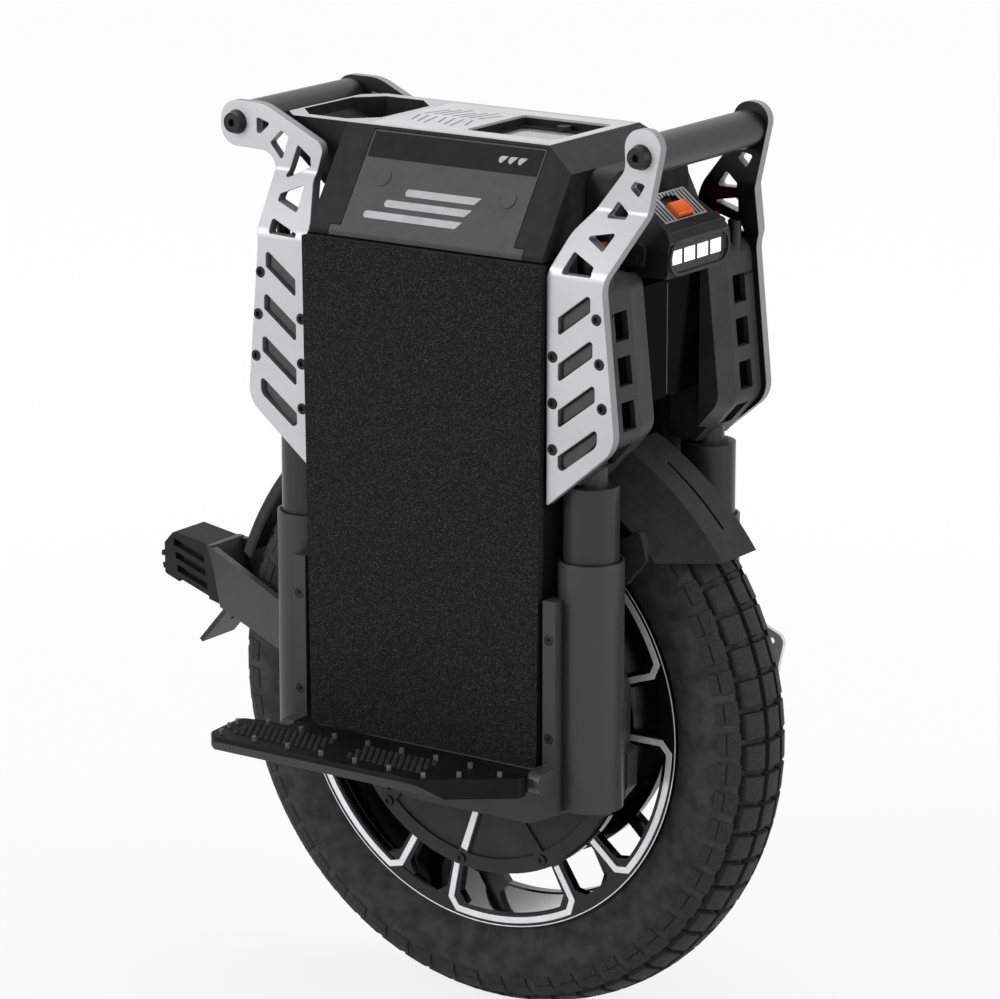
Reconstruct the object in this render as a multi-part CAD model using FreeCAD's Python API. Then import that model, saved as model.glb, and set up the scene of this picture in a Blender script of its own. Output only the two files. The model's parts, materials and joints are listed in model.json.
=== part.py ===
import FreeCAD, Part
import math
import os

# Electric unicycle: one wheel with a hub motor, a carrier of four fork sleeves that
# stays with the axle, and a sprung chassis that slides on it.
# X points forward, Y to the left and Z up, in millimetres. Shapes are drawn with the
# ground point under the axle at the origin. They are moved along X by AXLE_X when they
# are written, so that the origin lies in the middle of the footprint.

V = FreeCAD.Vector

# Wheel: tyre and rim
TYRE_R = 255.0
TYRE_H = 71.0
TYRE_HALF_W = 41.0
TREAD_HALF_W = 33.0
SHOULDER_DROP = 12.0
CARCASS_T = 8.0
GROOVE_W = 5.0
GROOVE_DEPTH = 4.0
RIM_HALF_W = 35.0
RIM_LIP_T = 5.0
RIM_LIP_H = 5.0
RIM_BARREL_T = 6.0
SPOKE_T = 8.0
WINDOW_SETS = 6
WIDE_WINDOW_DEG = 37.0
SLIM_WINDOW_DEG = 14.0
WINDOW_PHASE_DEG = -80.3
WINDOW_CORNER = 8.0
VALVE_R = 4.0
VALVE_LEN = 26.0

# Wheel: hub motor
SPOKE_LEN = 47.0
ROTOR_INSET = 17.0
ROTOR_T = 7.0
MAGNET_T = 5.0
MAGNET_HALF_W = 22.0
MOTOR_GAP = 1.0
COVER_T = 4.0
RIB_SETS = 5
RIB_W = 9.0
RIB_H = 2.5
RIB_INNER_R = 50.0
COVER_BOLT_R = 2.5
COVER_BOLT_HEAD_R = 4.2
COVER_BOLT_HEAD_H = 2.2
BOLT_EDGE = 6.0
BEARING_R = 24.0
AXLE_R = 14.0
AXLE_THREAD_R = 11.0
NUT_R = 17.0
NUT_H = 6.0

# Carrier: bridges, fork legs, hangers
BRIDGE_GAP = 4.0
BRIDGE_T = 14.0
BRIDGE_LOW = 80.0
BRIDGE_HIGH = 45.0
BRIDGE_NOSE = 18.0
FORK_INSET = 21.5
SLEEVE_R = 26.3
SLEEVE_DROP = 42.0
SLEEVE_SHORT = 54.0
SLEEVE_FLOOR = 12.0
SLEEVE_BOSS_HALF = 16.0
TUBE_R = 22.25
TUBE_WALL = 4.25
TUBE_EXPOSED = 60.0
TUBE_INSERT = 118.0
TUBE_END_T = 10.0
NECK_R = 13.0
ROD_R = 6.0
PISTON_T = 14.0
PISTON_Z = 40.0
WIPER_H = 6.0
WIPER_T = 2.0
SLIDE_FIT = 0.08
TRAVEL = 44.0
BUMP_GAP = 1.5
HANGER_W = 12.0
HANGER_TOP = 29.0
HANGER_LOW = 43.0
HANGER_T = 15.0
LUG_R = 9.0
PIN_R = 4.0
PIN_OUT = 13.0
PIN_DROP = 13.0
SCREW_R = 2.5

# Carrier: mudguards and tail prop
GUARD_GAP = 10.0
GUARD_T = 3.0
GUARD_TOP_HALF = 25.0
GUARD_SKIRT_HALF = 55.0
GUARD_SKIRT_DROP = 34.0
GUARD_FOOT_DEG = 35.07
GUARD_SLOT_W = 3.0
REAR_SKIRT_HALF = 29.0
REAR_SKIRT_DROP = 9.0
FRONT_GUARD_DEG = (34.0, 62.0)
REAR_GUARD_DEG = (118.0, 160.0)
STAY_T = 8.0
TAIL_REACH = 90.0
TAIL_BLOCK_LEN = 68.0
TAIL_BLOCK_HALF = 20.0
TAIL_BLOCK_H = 58.0
TAIL_RISE = 96.0
TAIL_ARM_T = 6.0
TAIL_PLATE_T = 6.0
TAIL_SLOTS = 4
TAIL_SLOT_H = 6.0
TAIL_SLOT_DEPTH = 7.0
TAIL_TEETH = 4
KICK_T = 4.0
KICK_HALF = 22.0
KICK_LEN = 46.0
EYE_T = 4.0
EYE_REACH = 49.0
EYE_HOLE_R = 2.6

# Chassis: beams, side cases, pads
ROOF_RISE = 132.5
BEAM_T = 12.0
BEAM_DEPTH = 32.0
SIDE_GAP_X = 1.2
COVER_GAP = 3.0
INNER_T = 3.0
SIDE_DEPTH = 51.0
SIDE_WALL = 4.0
SIDE_DROP = 8.0
SIDE_EDGE_R = 6.0
PAD_T = 6.0
PAD_TAPER = 4.5
PAD_RISE = 189.0
BATTERY_LEN = 300.0
CELL_ROWS = 6

# Chassis: top case, deck and hatches
DECK_RISE = 271.0
DECK_HALF = 64.0
CASE_WALL = 6.0
CASE_HALF_X = 111.0
CASE_GAP = 4.0
CASE_SILL = 4.0
CASE_TAIL_LEN = 72.0
CASE_TAIL_T = 16.0
TAIL_CORNER = 18.0
FACET_LEN = 29.0
FACET_DROP = 18.0
WELL_EDGE = 6.0
WELL_LEN = 77.0
WELL_HALF = 53.0
WELL_DEPTH = 28.5
WELL_RAMP = 22.0
WELL_CORNER = 20.0
WELL_WALL = 3.0
DECK_PANEL_GAP = 6.0
DECK_PANEL_HALF = 58.0
DECK_PANEL_T = 2.0
SCREEN_EDGE = 8.0
SCREEN_LEN = 85.0
SCREEN_HALF = 42.0
SCREEN_DEPTH = 8.0
SCREEN_T = 1.5
HATCH_T = 3.0
HATCH_SEAM = 0.6
HATCH_STEP = 10.0
HATCH_FOOT_H = 8.0
POWER_R = 5.5
POWER_H = 4.0
BOARD_INSET = 31.0
BOARD_GAP = 12.0
BOARD_RISE = 8.0
BOARD_T = 3.0
BOARD_POST_R = 4.0
CAN_R = 9.0
CAN_H = 25.0
SINK_H = 15.0

# Chassis: fork brackets, side plates and bars
BRACKET_RISE = 181.0
BRACKET_OUT = 36.0
BRACKET_WALL = 5.0
BRACKET_LIP = 13.0
BRACKET_BEVEL = 3.0
BRACKET_TOP_R = 16.0
BRACKET_WINDOWS = 3
BRACKET_WINDOW_EDGE = 13.0
BRACKET_WINDOW_W = 18.0
BRACKET_WINDOW_H = 22.5
PLATE_T = 8.0
UPPER_GAP = 10.0
JOGGLE_RISE = 185.5
JOGGLE_H = 45.0
SLOT_COUNT = 4
SLOT_PITCH = 36.3
SLOT_H = 14.5
PLATE_SCREW_HEAD_R = 4.6
FRONT_BAR_OUT = 40.5
FRONT_BAR_RISE = 3.0
REAR_BAR_OUT = 71.5
REAR_BAR_RISE = -7.0
BAR_R = 15.0
BAR_WALL = 3.5
BAR_PLUG = 16.0
BAR_BOLT_R = 5.0
BAR_BOLT_HEAD_R = 10.0
BAR_BOLT_HEAD_H = 7.0
CAP_R = 11.5
CAP_H = 16.0
POST_R = 5.5
POST_H = 15.5
POST_SINK = 10.0
VALVE_DEG = 23.0
LEVER_R = 6.5
LEVER_H = 5.0
LEVER_LEN = 17.0

# Chassis: end panels and headlamp
PANEL_OUT = 7.5
PANEL_T = 6.0
PANEL_TOP = 163.0
PANEL_GAP = 4.0
NOSE_LEN = 22.0
NOSE_HALF = 57.0
NOSE_TOP = 253.0
LAMP_GAP = 6.5
LAMP_LEN = 39.5
LAMP_HALF = 45.5
LAMP_TOP_HALF = 30.0
LAMP_LOW = 168.0
LAMP_HIGH = 232.0
LAMP_PIVOT_OUT = 18.0
LAMP_PIVOT_RISE = 188.0
LAMP_SLOPE_DEG = 38.0
LAMP_WINDOW_HALF = 41.0
LAMP_WINDOW_H = 23.0
LAMP_WINDOW_DEPTH = 9.0
LENS_T = 2.0
LED_COUNT = 4
LED_SIZE = 14.0
CHEEK_T = 4.0
LAMP_FIT = 0.5
LAMP_BUTTON = (13.0, 22.0, 7.0)
LAMP_DISH = 10.0
LAMP_BUTTON_PROUD = 4.0
TAIL_LIGHT_HALF = 38.0
TAIL_LIGHT_H = 16.0
PORT_R = 12.0

# Pedals
PEDAL_T = 16.0
PEDAL_TAIL = 43.8
PEDAL_TOE = 3.8
PEDAL_OUT = 70.0
PEDAL_NOSE_OUT = 22.0
PEDAL_NOSE_LEN = 64.0
PEDAL_RISE = 8.0
BARREL_R = 8.5
STUD_R = 2.0
STUD_PROUD = 4.0
STUD_DEEP = 5.0
STUDS_ALONG = 7

# Clearances shared by the fits
TOUCH = 0.05
RUN_FIT = 0.05
MOVE_GAP = 0.8
KEY_GAP = 0.3

# Levels and widths that follow from the sizes above
AXLE_Z = TYRE_R
TAIL_X = TYRE_R + TAIL_REACH
AXLE_X = TAIL_REACH / 2
RIM_R = TYRE_R - TYRE_H
HUB_R = RIM_R - SPOKE_LEN
ROTOR_R = HUB_R - ROTOR_INSET
PLATE_X0 = CASE_HALF_X + CASE_GAP
FORK_X = PLATE_X0 + FORK_INSET
BEAD_R = RIM_R - RIM_LIP_H
WINDOW_R0 = HUB_R + 2
WINDOW_R1 = BEAD_R - RIM_BARREL_T - 1
BOLT_CIRCLE = HUB_R - BOLT_EDGE
COVER_Y0 = RIM_HALF_W - 1
COVER_Y1 = COVER_Y0 + COVER_T
MAGNET_R = ROTOR_R - ROTOR_T
STATOR_R = MAGNET_R - MAGNET_T - MOTOR_GAP
BRIDGE_Y0 = TYRE_HALF_W + BRIDGE_GAP
BRIDGE_Y1 = BRIDGE_Y0 + BRIDGE_T
NUT_Y = BRIDGE_Y1 - NUT_H - 1
FORK_Y = BRIDGE_Y1 + SLEEVE_R + 0.2
SLEEVE_LEN = TYRE_R - SLEEVE_SHORT
SLEEVE_Z0 = AXLE_Z - SLEEVE_DROP
SLEEVE_Z1 = SLEEVE_Z0 + SLEEVE_LEN
SLEEVE_BORE = TUBE_R + SLIDE_FIT
TUBE_Z0 = SLEEVE_Z1 - TUBE_INSERT
TUBE_Z1 = SLEEVE_Z1 + TUBE_EXPOSED
TUBE_BORE = TUBE_R - TUBE_WALL
BODY_Z0 = SLEEVE_Z1 + TRAVEL + BUMP_GAP
BRACKET_Z0 = TUBE_Z1 + 4
BRACKET_Z1 = BODY_Z0 + BRACKET_RISE
PAD_Z1 = BODY_Z0 + PAD_RISE
DECK_Z = BODY_Z0 + DECK_RISE
ROOF_Z = BODY_Z0 + ROOF_RISE
BEAM_Z1 = ROOF_Z + BEAM_T
INNER_Y0 = BRIDGE_Y1 + COVER_GAP
INNER_Y1 = INNER_Y0 + INNER_T
SIDE_Y1 = INNER_Y1 + SIDE_DEPTH
SIDE_Z0 = AXLE_Z - SIDE_DROP
SIDE_HALF_X = FORK_X - SLEEVE_R - SIDE_GAP_X
PAD_Y1 = SIDE_Y1 + PAD_T
PLATE_Y0 = SIDE_Y1 - PLATE_T
BRACKET_Y0 = BRIDGE_Y1 + 1
UPPER_Y0 = DECK_HALF + UPPER_GAP
PLATE_UPPER_Y = UPPER_Y0 + PLATE_T
JOGGLE_Z0 = BODY_Z0 + JOGGLE_RISE
JOGGLE_Z1 = JOGGLE_Z0 + JOGGLE_H
CASE_Z0 = PAD_Z1 + 1.5
CASE_TAIL_X = CASE_HALF_X + CASE_TAIL_LEN
WELL_X = (WELL_EDGE - CASE_TAIL_X, WELL_EDGE - CASE_TAIL_X + WELL_LEN)
HATCH_HALF = CASE_HALF_X - FACET_LEN
HATCH_FOOT = HATCH_HALF + HATCH_STEP
DECK_PANEL_X = (WELL_X[1] + DECK_PANEL_GAP, HATCH_HALF - 2)
SCREEN_X = (DECK_PANEL_X[1] - SCREEN_EDGE - SCREEN_LEN, DECK_PANEL_X[1] - SCREEN_EDGE)
FRONT_BAR_X = FORK_X + FRONT_BAR_OUT
FRONT_BAR_Z = DECK_Z + FRONT_BAR_RISE
REAR_BAR_X = FORK_X + REAR_BAR_OUT
REAR_BAR_Z = DECK_Z + REAR_BAR_RISE
GUARD_R0 = TYRE_R + GUARD_GAP
GUARD_R1 = GUARD_R0 + GUARD_T
GUARD_FOOT_Z = AXLE_Z + GUARD_R1 * math.sin(math.radians(GUARD_FOOT_DEG))
PANEL_X = FORK_X + PANEL_OUT
PANEL_Z0 = AXLE_Z + math.sqrt(GUARD_R1 ** 2 - PANEL_X ** 2) + TRAVEL + PANEL_GAP
PANEL_Z1 = BODY_Z0 + PANEL_TOP
HANGER_X1 = PLATE_X0 + HANGER_W
HANGER_Y1 = SIDE_Y1 + PAD_T - 1
HANGER_Y0 = HANGER_Y1 - HANGER_T
PIN_Y = PAD_Y1 + PIN_OUT
PIN_Z = AXLE_Z - PIN_DROP
BARREL_HALF = PLATE_X0 - MOVE_GAP
PEDAL_REAR_X = BARREL_HALF + PEDAL_TAIL
PEDAL_FRONT_X = BARREL_HALF + PEDAL_TOE
PEDAL_NOSE_X = PEDAL_FRONT_X - PEDAL_NOSE_LEN
PEDAL_Z1 = PIN_Z + PEDAL_RISE
PEDAL_Z0 = PEDAL_Z1 - PEDAL_T
PEDAL_Y1 = PIN_Y + PEDAL_OUT
NOSE_X = CASE_HALF_X + NOSE_LEN
LAMP_X = (NOSE_X + LAMP_GAP, NOSE_X + LAMP_GAP + LAMP_LEN)
LAMP_PIVOT_X = NOSE_X + LAMP_PIVOT_OUT
LAMP_Z0 = BODY_Z0 + LAMP_LOW
LAMP_Z1 = BODY_Z0 + LAMP_HIGH
LAMP_PIVOT_Z = BODY_Z0 + LAMP_PIVOT_RISE
TAIL_Z1 = AXLE_Z + TAIL_RISE
TAIL_Z0 = TAIL_Z1 - TAIL_BLOCK_H
TAIL_BLOCK_X = TAIL_X - TAIL_BLOCK_LEN


# Drawing helpers

def box(x0, x1, y0, y1, z0, z1):
    return Part.makeBox(x1 - x0, y1 - y0, z1 - z0, V(x0, y0, z0))


def cyl_x(r, y, z, x0, x1):
    return Part.makeCylinder(r, x1 - x0, V(x0, y, z), V(1, 0, 0))


def cyl_y(r, x, z, y0, y1):
    return Part.makeCylinder(r, y1 - y0, V(x, y0, z), V(0, 1, 0))


def cyl_z(r, x, y, z0, z1):
    return Part.makeCylinder(r, z1 - z0, V(x, y, z0), V(0, 0, 1))


def corner_arc(before, corner, after, radius):
    """Tangent points and middle of the arc that rounds one corner of an outline."""
    u = (before - corner).normalize()
    w = (after - corner).normalize()
    half = u.getAngle(w) / 2
    room = 0.49 * min(before.distanceToPoint(corner), after.distanceToPoint(corner))
    reach = min(radius / math.tan(half), room)
    centre = corner + (u + w).normalize() * (reach / math.cos(half))
    inner = (corner - centre).normalize() * (reach * math.tan(half))
    return corner + u * reach, centre + inner, corner + w * reach


def outline(points, place):
    """Closed wire through points (a, b) or (a, b, corner radius)."""
    spots = [place(p[0], p[1]) for p in points]
    edges = []
    ends = []
    for i, p in enumerate(points):
        spot = spots[i]
        if len(p) < 3:
            ends.append((spot, spot))
            continue
        start, middle, end = corner_arc(spots[i - 1], spot, spots[(i + 1) % len(spots)], p[2])
        edges.append(Part.Arc(start, middle, end).toShape())
        ends.append((start, end))
    for i, (_, end) in enumerate(ends):
        start = ends[(i + 1) % len(ends)][0]
        edges.append(Part.makeLine(end, start))
    return Part.Wire(Part.__sortEdges__(edges))


def prism_y(points, y0, y1):
    face = Part.Face(outline(points, lambda x, z: V(x, y0, z)))
    return face.extrude(V(0, y1 - y0, 0))


def prism_x(points, x0, x1):
    face = Part.Face(outline(points, lambda y, z: V(x0, y, z)))
    return face.extrude(V(x1 - x0, 0, 0))


def prism_z(points, z0, z1):
    face = Part.Face(outline(points, lambda x, y: V(x, y, z0)))
    return face.extrude(V(0, 0, z1 - z0))


def spun(edges):
    """Solid of revolution about the axle from section edges in the plane above +X."""
    face = Part.Face(Part.Wire(Part.__sortEdges__(edges)))
    return face.revolve(V(0, 0, AXLE_Z), V(0, 1, 0), 360)


def section(r, y):
    return V(r, y, AXLE_Z)


def lines(points):
    return [Part.makeLine(a, b) for a, b in zip(points, points[1:])]


def at_angle(shape, degrees):
    """Turn a shape drawn along +X about the axle, towards +Z."""
    turned = shape.copy()
    turned.rotate(V(0, 0, AXLE_Z), V(0, 1, 0), -degrees)
    return turned


def mirror_y(shape):
    return shape.mirror(V(0, 0, 0), V(0, 1, 0))


def mirror_x(shape):
    return shape.mirror(V(0, 0, 0), V(1, 0, 0))


def both_sides(shape):
    return [shape, mirror_y(shape)]


def all_corners(shape):
    return both_sides(shape) + both_sides(mirror_x(shape))


def fused(shapes):
    return shapes[0].fuse(shapes[1:]).removeSplitter()


def save(node, *shapes):
    """Write one node: a single solid or a group of separate solids."""
    solids = [solid for shape in shapes for solid in shape.Solids]
    moved = [solid.translated(V(AXLE_X, 0, 0)) for solid in solids]
    whole = moved[0] if len(moved) == 1 else Part.makeCompound(moved)
    whole.exportStep("parts/%s.step" % node)
    state = "" if all(s.isValid() for s in moved) else "  INVALID"
    print("%-22s solids %3d  volume %10.0f%s" % (node, len(moved), whole.Volume, state))


# Wheel

def make_tyre():
    """Hollow tyre: round crown, bulging sidewalls and three grooves round the tread."""
    shoulder = TYRE_R - SHOULDER_DROP
    bulge = (RIM_R + shoulder) / 2
    bead_y = RIM_HALF_W - RIM_LIP_T - TOUCH
    bead_r = BEAD_R + TOUCH

    def skin(depth, crown, bead):
        top = Part.Arc(section(shoulder - depth, -TREAD_HALF_W + depth),
                       section(crown, 0), section(shoulder - depth, TREAD_HALF_W - depth))
        walls = [Part.Arc(section(shoulder - depth, side * (TREAD_HALF_W - depth)),
                          section(bulge, side * (TYRE_HALF_W - depth)),
                          section(RIM_R + 1, side * bead)) for side in (-1, 1)]
        return [top.toShape()] + [wall.toShape() for wall in walls]

    toe_y = bead_y - CARCASS_T
    edges = skin(0, TYRE_R, bead_y) + skin(CARCASS_T, TYRE_R - CARCASS_T - GROOVE_DEPTH, toe_y)
    for side in (-1, 1):
        edges += lines([section(RIM_R + 1, side * bead_y), section(bead_r, side * bead_y),
                        section(bead_r, side * toe_y), section(RIM_R + 1, side * toe_y)])
    tyre = spun(edges)
    for middle in (-TREAD_HALF_W / 2, 0, TREAD_HALF_W / 2):
        sag = SHOULDER_DROP * (middle / TREAD_HALF_W) ** 2
        floor = TYRE_R - sag - GROOVE_DEPTH
        low, high = middle - GROOVE_W / 2, middle + GROOVE_W / 2
        ring = spun(lines([section(floor, low), section(TYRE_R + 1, low),
                           section(TYRE_R + 1, high), section(floor, high), section(floor, low)]))
        tyre = tyre.cut(ring)
    return tyre


def window(half_deg, y0, y1):
    """Opening between two spokes: a ring sector with its outer corners cut off."""
    def polar(r, degrees):
        a = math.radians(degrees)
        return V(r * math.cos(a), y0, AXLE_Z + r * math.sin(a))

    trim = math.degrees(WINDOW_CORNER / WINDOW_R1)
    low = [polar(WINDOW_R0, -half_deg), polar(WINDOW_R1 - WINDOW_CORNER, -half_deg),
           polar(WINDOW_R1, trim - half_deg)]
    high = [polar(WINDOW_R1, half_deg - trim), polar(WINDOW_R1 - WINDOW_CORNER, half_deg),
            polar(WINDOW_R0, half_deg)]
    edges = lines(low) + lines(high)
    edges.append(Part.Arc(low[-1], polar(WINDOW_R1, 0), high[0]).toShape())
    edges.append(Part.Arc(high[-1], polar(WINDOW_R0, 0), low[0]).toShape())
    return Part.Face(Part.Wire(Part.__sortEdges__(edges))).extrude(V(0, y1 - y0, 0))


def bolt_spots():
    """Bolt centres on the hub, two for each pair of ribs."""
    step = 180.0 / RIB_SETS
    phase = WINDOW_PHASE_DEG - step / 2
    return [phase + step * i for i in range(2 * RIB_SETS)]


def make_rim():
    """Barrel with lips and a windowed spoke disc on each side."""
    inner = BEAD_R - RIM_BARREL_T
    edge_y = RIM_HALF_W - RIM_LIP_T
    barrel = spun(lines([section(inner, -RIM_HALF_W), section(RIM_R, -RIM_HALF_W),
                         section(RIM_R, -edge_y), section(BEAD_R, -edge_y),
                         section(BEAD_R, edge_y), section(RIM_R, edge_y),
                         section(RIM_R, RIM_HALF_W), section(inner, RIM_HALF_W),
                         section(inner, -RIM_HALF_W)]))
    disc = cyl_y(inner + 1, 0, AXLE_Z, COVER_Y0 - SPOKE_T, COVER_Y0)
    disc = disc.cut(cyl_y(ROTOR_R + TOUCH, 0, AXLE_Z, 0, RIM_HALF_W))
    rim = fused([barrel] + both_sides(disc))
    step = 360.0 / WINDOW_SETS
    reach = RIM_HALF_W + 1
    holes = []
    for i in range(WINDOW_SETS):
        middle = WINDOW_PHASE_DEG + step * i
        holes.append(at_angle(window(WIDE_WINDOW_DEG / 2, -reach, reach), middle))
        holes.append(at_angle(window(SLIM_WINDOW_DEG / 2, -reach, reach), middle + step / 2))
    shank = cyl_y(COVER_BOLT_R + TOUCH, BOLT_CIRCLE, AXLE_Z, -RIM_HALF_W, RIM_HALF_W)
    holes += [at_angle(shank, degrees) for degrees in bolt_spots()]
    holes.append(at_angle(cyl_x(VALVE_R + TOUCH, 0, AXLE_Z, inner - 1, BEAD_R + 1), valve_angle()))
    return rim.cut(holes)


def valve_angle():
    return WINDOW_PHASE_DEG + 180.0


def make_valve():
    inner = BEAD_R - RIM_BARREL_T
    stem = cyl_x(VALVE_R, 0, AXLE_Z, BEAD_R - VALVE_LEN, BEAD_R)
    collar = cyl_x(VALVE_R * 1.6, 0, AXLE_Z, inner - 4, inner - 0.3)
    return at_angle(fused([stem, collar]), valve_angle())


def make_rotor():
    """Rotor ring with its bonded magnets, which fill the inside of the hub."""
    ring = cyl_y(ROTOR_R, 0, AXLE_Z, -COVER_Y0, COVER_Y0)
    ring = ring.cut(cyl_y(MAGNET_R, 0, AXLE_Z, -COVER_Y0, COVER_Y0))
    magnets = cyl_y(MAGNET_R - TOUCH, 0, AXLE_Z, -MAGNET_HALF_W, MAGNET_HALF_W)
    magnets = magnets.cut(cyl_y(MAGNET_R - MAGNET_T, 0, AXLE_Z, -MAGNET_HALF_W, MAGNET_HALF_W))
    return ring, magnets


def make_cover():
    """Left motor cover: a disc with a bearing seat and raised ribs in pairs."""
    disc = cyl_y(HUB_R, 0, AXLE_Z, COVER_Y0, COVER_Y1)
    rim_step = cyl_y(HUB_R, 0, AXLE_Z, COVER_Y1, COVER_Y1 + RIB_H)
    rim_step = rim_step.cut(cyl_y(HUB_R - 2 * BOLT_EDGE, 0, AXLE_Z, COVER_Y1, COVER_Y1 + RIB_H))
    seat = cyl_y(BEARING_R + 2 * RIB_W, 0, AXLE_Z, COVER_Y1, COVER_Y1 + RIB_H)
    parts = [disc, rim_step, seat]
    spots = bolt_spots()
    for low, high in zip(spots[0::2], spots[1::2]):
        root = at_angle(Part.Vertex(RIB_INNER_R, 0, AXLE_Z), (low + high) / 2).Point
        for degrees in (low, high):
            tip = at_angle(Part.Vertex(BOLT_CIRCLE, 0, AXLE_Z), degrees).Point
            along = (tip - root).normalize()
            side = V(-along.z, 0, along.x) * (RIB_W / 2)
            corners = [root + side, tip + side, tip - side, root - side, root + side]
            rib = Part.Face(Part.makePolygon([c + V(0, COVER_Y1, 0) for c in corners]))
            parts.append(rib.extrude(V(0, RIB_H, 0)))
    cover = fused(parts)
    holes = [cyl_y(BEARING_R + TOUCH, 0, AXLE_Z, 0, COVER_Y1 + RIB_H + 1)]
    shank = cyl_y(COVER_BOLT_R + TOUCH, BOLT_CIRCLE, AXLE_Z, 0, COVER_Y1 + RIB_H + 1)
    holes += [at_angle(shank, degrees) for degrees in spots]
    return cover.cut(holes)


def hex_prism_y(across, x, z, y0, y1):
    r = across / math.sqrt(3)
    points = [(x + r * math.cos(math.radians(60 * i)), z + r * math.sin(math.radians(60 * i)))
              for i in range(6)]
    return prism_y(points, y0, y1)


def make_cover_bolts():
    top = COVER_Y1 + RIB_H
    bolt = cyl_y(COVER_BOLT_R, BOLT_CIRCLE, AXLE_Z, COVER_Y0 - SPOKE_T, top)
    head = cyl_y(COVER_BOLT_HEAD_R, BOLT_CIRCLE, AXLE_Z, top, top + COVER_BOLT_HEAD_H)
    socket = hex_prism_y(COVER_BOLT_R * 1.6, BOLT_CIRCLE, AXLE_Z, top + 0.8, top + 5)
    bolt = fused([bolt, head]).cut(socket)
    return [side for degrees in bolt_spots() for side in both_sides(at_angle(bolt, degrees))]


def make_bearing():
    ring = cyl_y(BEARING_R, 0, AXLE_Z, COVER_Y0, COVER_Y1 + RIB_H)
    return ring.cut(cyl_y(AXLE_R + RUN_FIT, 0, AXLE_Z, COVER_Y0, COVER_Y1 + RIB_H))


# Carrier

def make_axle():
    shaft = cyl_y(AXLE_R, 0, AXLE_Z, -NUT_Y, NUT_Y)
    thread = cyl_y(AXLE_THREAD_R, 0, AXLE_Z, -BRIDGE_Y1, BRIDGE_Y1)
    return fused([shaft, thread])


def make_stator():
    core = cyl_y(STATOR_R, 0, AXLE_Z, -MAGNET_HALF_W, MAGNET_HALF_W)
    return core.cut(cyl_y(AXLE_R, 0, AXLE_Z, -MAGNET_HALF_W, MAGNET_HALF_W))


def bridge_screw_spots():
    """Screw centres of one bridge on its front sleeve: ahead of and behind the fork axis."""
    return [(FORK_X - 12, AXLE_Z + 25), (FORK_X + 12, AXLE_Z - 25)]


def make_bridge():
    """Left axle bridge: a deep plate from the front sleeve to the rear sleeve."""
    low = AXLE_Z - BRIDGE_LOW
    high = AXLE_Z + BRIDGE_HIGH
    nose = FORK_X + BRIDGE_NOSE
    half = [(0, low), (FORK_X - 76, low, 20), (FORK_X - 26, AXLE_Z - 58, 20),
            (FORK_X - 4.5, AXLE_Z - 62, 8), (nose, AXLE_Z - 32, 4), (nose, AXLE_Z - 4, 2),
            (nose - 6.5, AXLE_Z + 1, 2), (nose - 6.5, high + 2, 4), (FORK_X + 5, high + 17, 4),
            (FORK_X - 14, high + 17, 8), (FORK_X - 40, high, 15), (0, high + 12)]
    right = [(x, z) + tuple(r) for x, z, *r in half]
    left = [(-x, z) + tuple(r) for x, z, *r in reversed(half[1:-1])]
    plate = prism_y(right + left, BRIDGE_Y0, BRIDGE_Y1)
    holes = [cyl_y(AXLE_R + TOUCH, 0, AXLE_Z, BRIDGE_Y0, NUT_Y),
             cyl_y(NUT_R + 3, 0, AXLE_Z, NUT_Y, BRIDGE_Y1)]
    for x, z in bridge_screw_spots():
        for spot in (x, -x):
            holes.append(cyl_y(SCREW_R + TOUCH, spot, z, BRIDGE_Y0, BRIDGE_Y1))
            holes.append(cyl_y(2 * SCREW_R, spot, z, BRIDGE_Y0, BRIDGE_Y0 + 3))
    return plate.cut(holes)


def hanger_screw_levels():
    return [SLEEVE_Z0 + 0.3 * SLEEVE_LEN, SLEEVE_Z0 + 0.7 * SLEEVE_LEN]


def hanger_screw_x():
    return PLATE_X0 + HANGER_W / 2


def make_sleeve():
    """Front left fork sleeve: a cup with a flat boss for the bridge."""
    cup = cyl_z(SLEEVE_R, FORK_X, FORK_Y, SLEEVE_Z0, SLEEVE_Z1)
    boss = box(FORK_X - SLEEVE_BOSS_HALF, FORK_X + SLEEVE_BOSS_HALF, BRIDGE_Y1, FORK_Y,
               AXLE_Z - 40, AXLE_Z + BRIDGE_HIGH - 5)
    sleeve = fused([cup, boss])
    floor = SLEEVE_Z0 + SLEEVE_FLOOR
    holes = [cyl_z(SLEEVE_BORE, FORK_X, FORK_Y, floor, SLEEVE_Z1),
             cyl_z(SLEEVE_BORE + WIPER_T + TOUCH, FORK_X, FORK_Y, SLEEVE_Z1 - WIPER_H, SLEEVE_Z1)]
    for x, z in bridge_screw_spots():
        holes.append(cyl_y(SCREW_R + TOUCH, x, z, BRIDGE_Y1, FORK_Y))
    for z in hanger_screw_levels():
        holes.append(cyl_y(SCREW_R + TOUCH, hanger_screw_x(), z, FORK_Y, HANGER_Y1))
    return sleeve.cut(holes)


def make_wiper():
    z0 = SLEEVE_Z1 - WIPER_H
    ring = cyl_z(SLEEVE_BORE + WIPER_T, FORK_X, FORK_Y, z0, SLEEVE_Z1)
    return ring.cut(cyl_z(SLEEVE_BORE, FORK_X, FORK_Y, z0, SLEEVE_Z1))


def make_damper():
    """Rod that stands on the sleeve's floor and carries a piston inside the fork tube."""
    piston_z = TUBE_Z0 + PISTON_Z
    rod = cyl_z(ROD_R, FORK_X, FORK_Y, SLEEVE_Z0 + SLEEVE_FLOOR, piston_z)
    piston = cyl_z(TUBE_BORE - 0.1, FORK_X, FORK_Y, piston_z, piston_z + PISTON_T)
    return fused([rod, piston])


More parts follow.
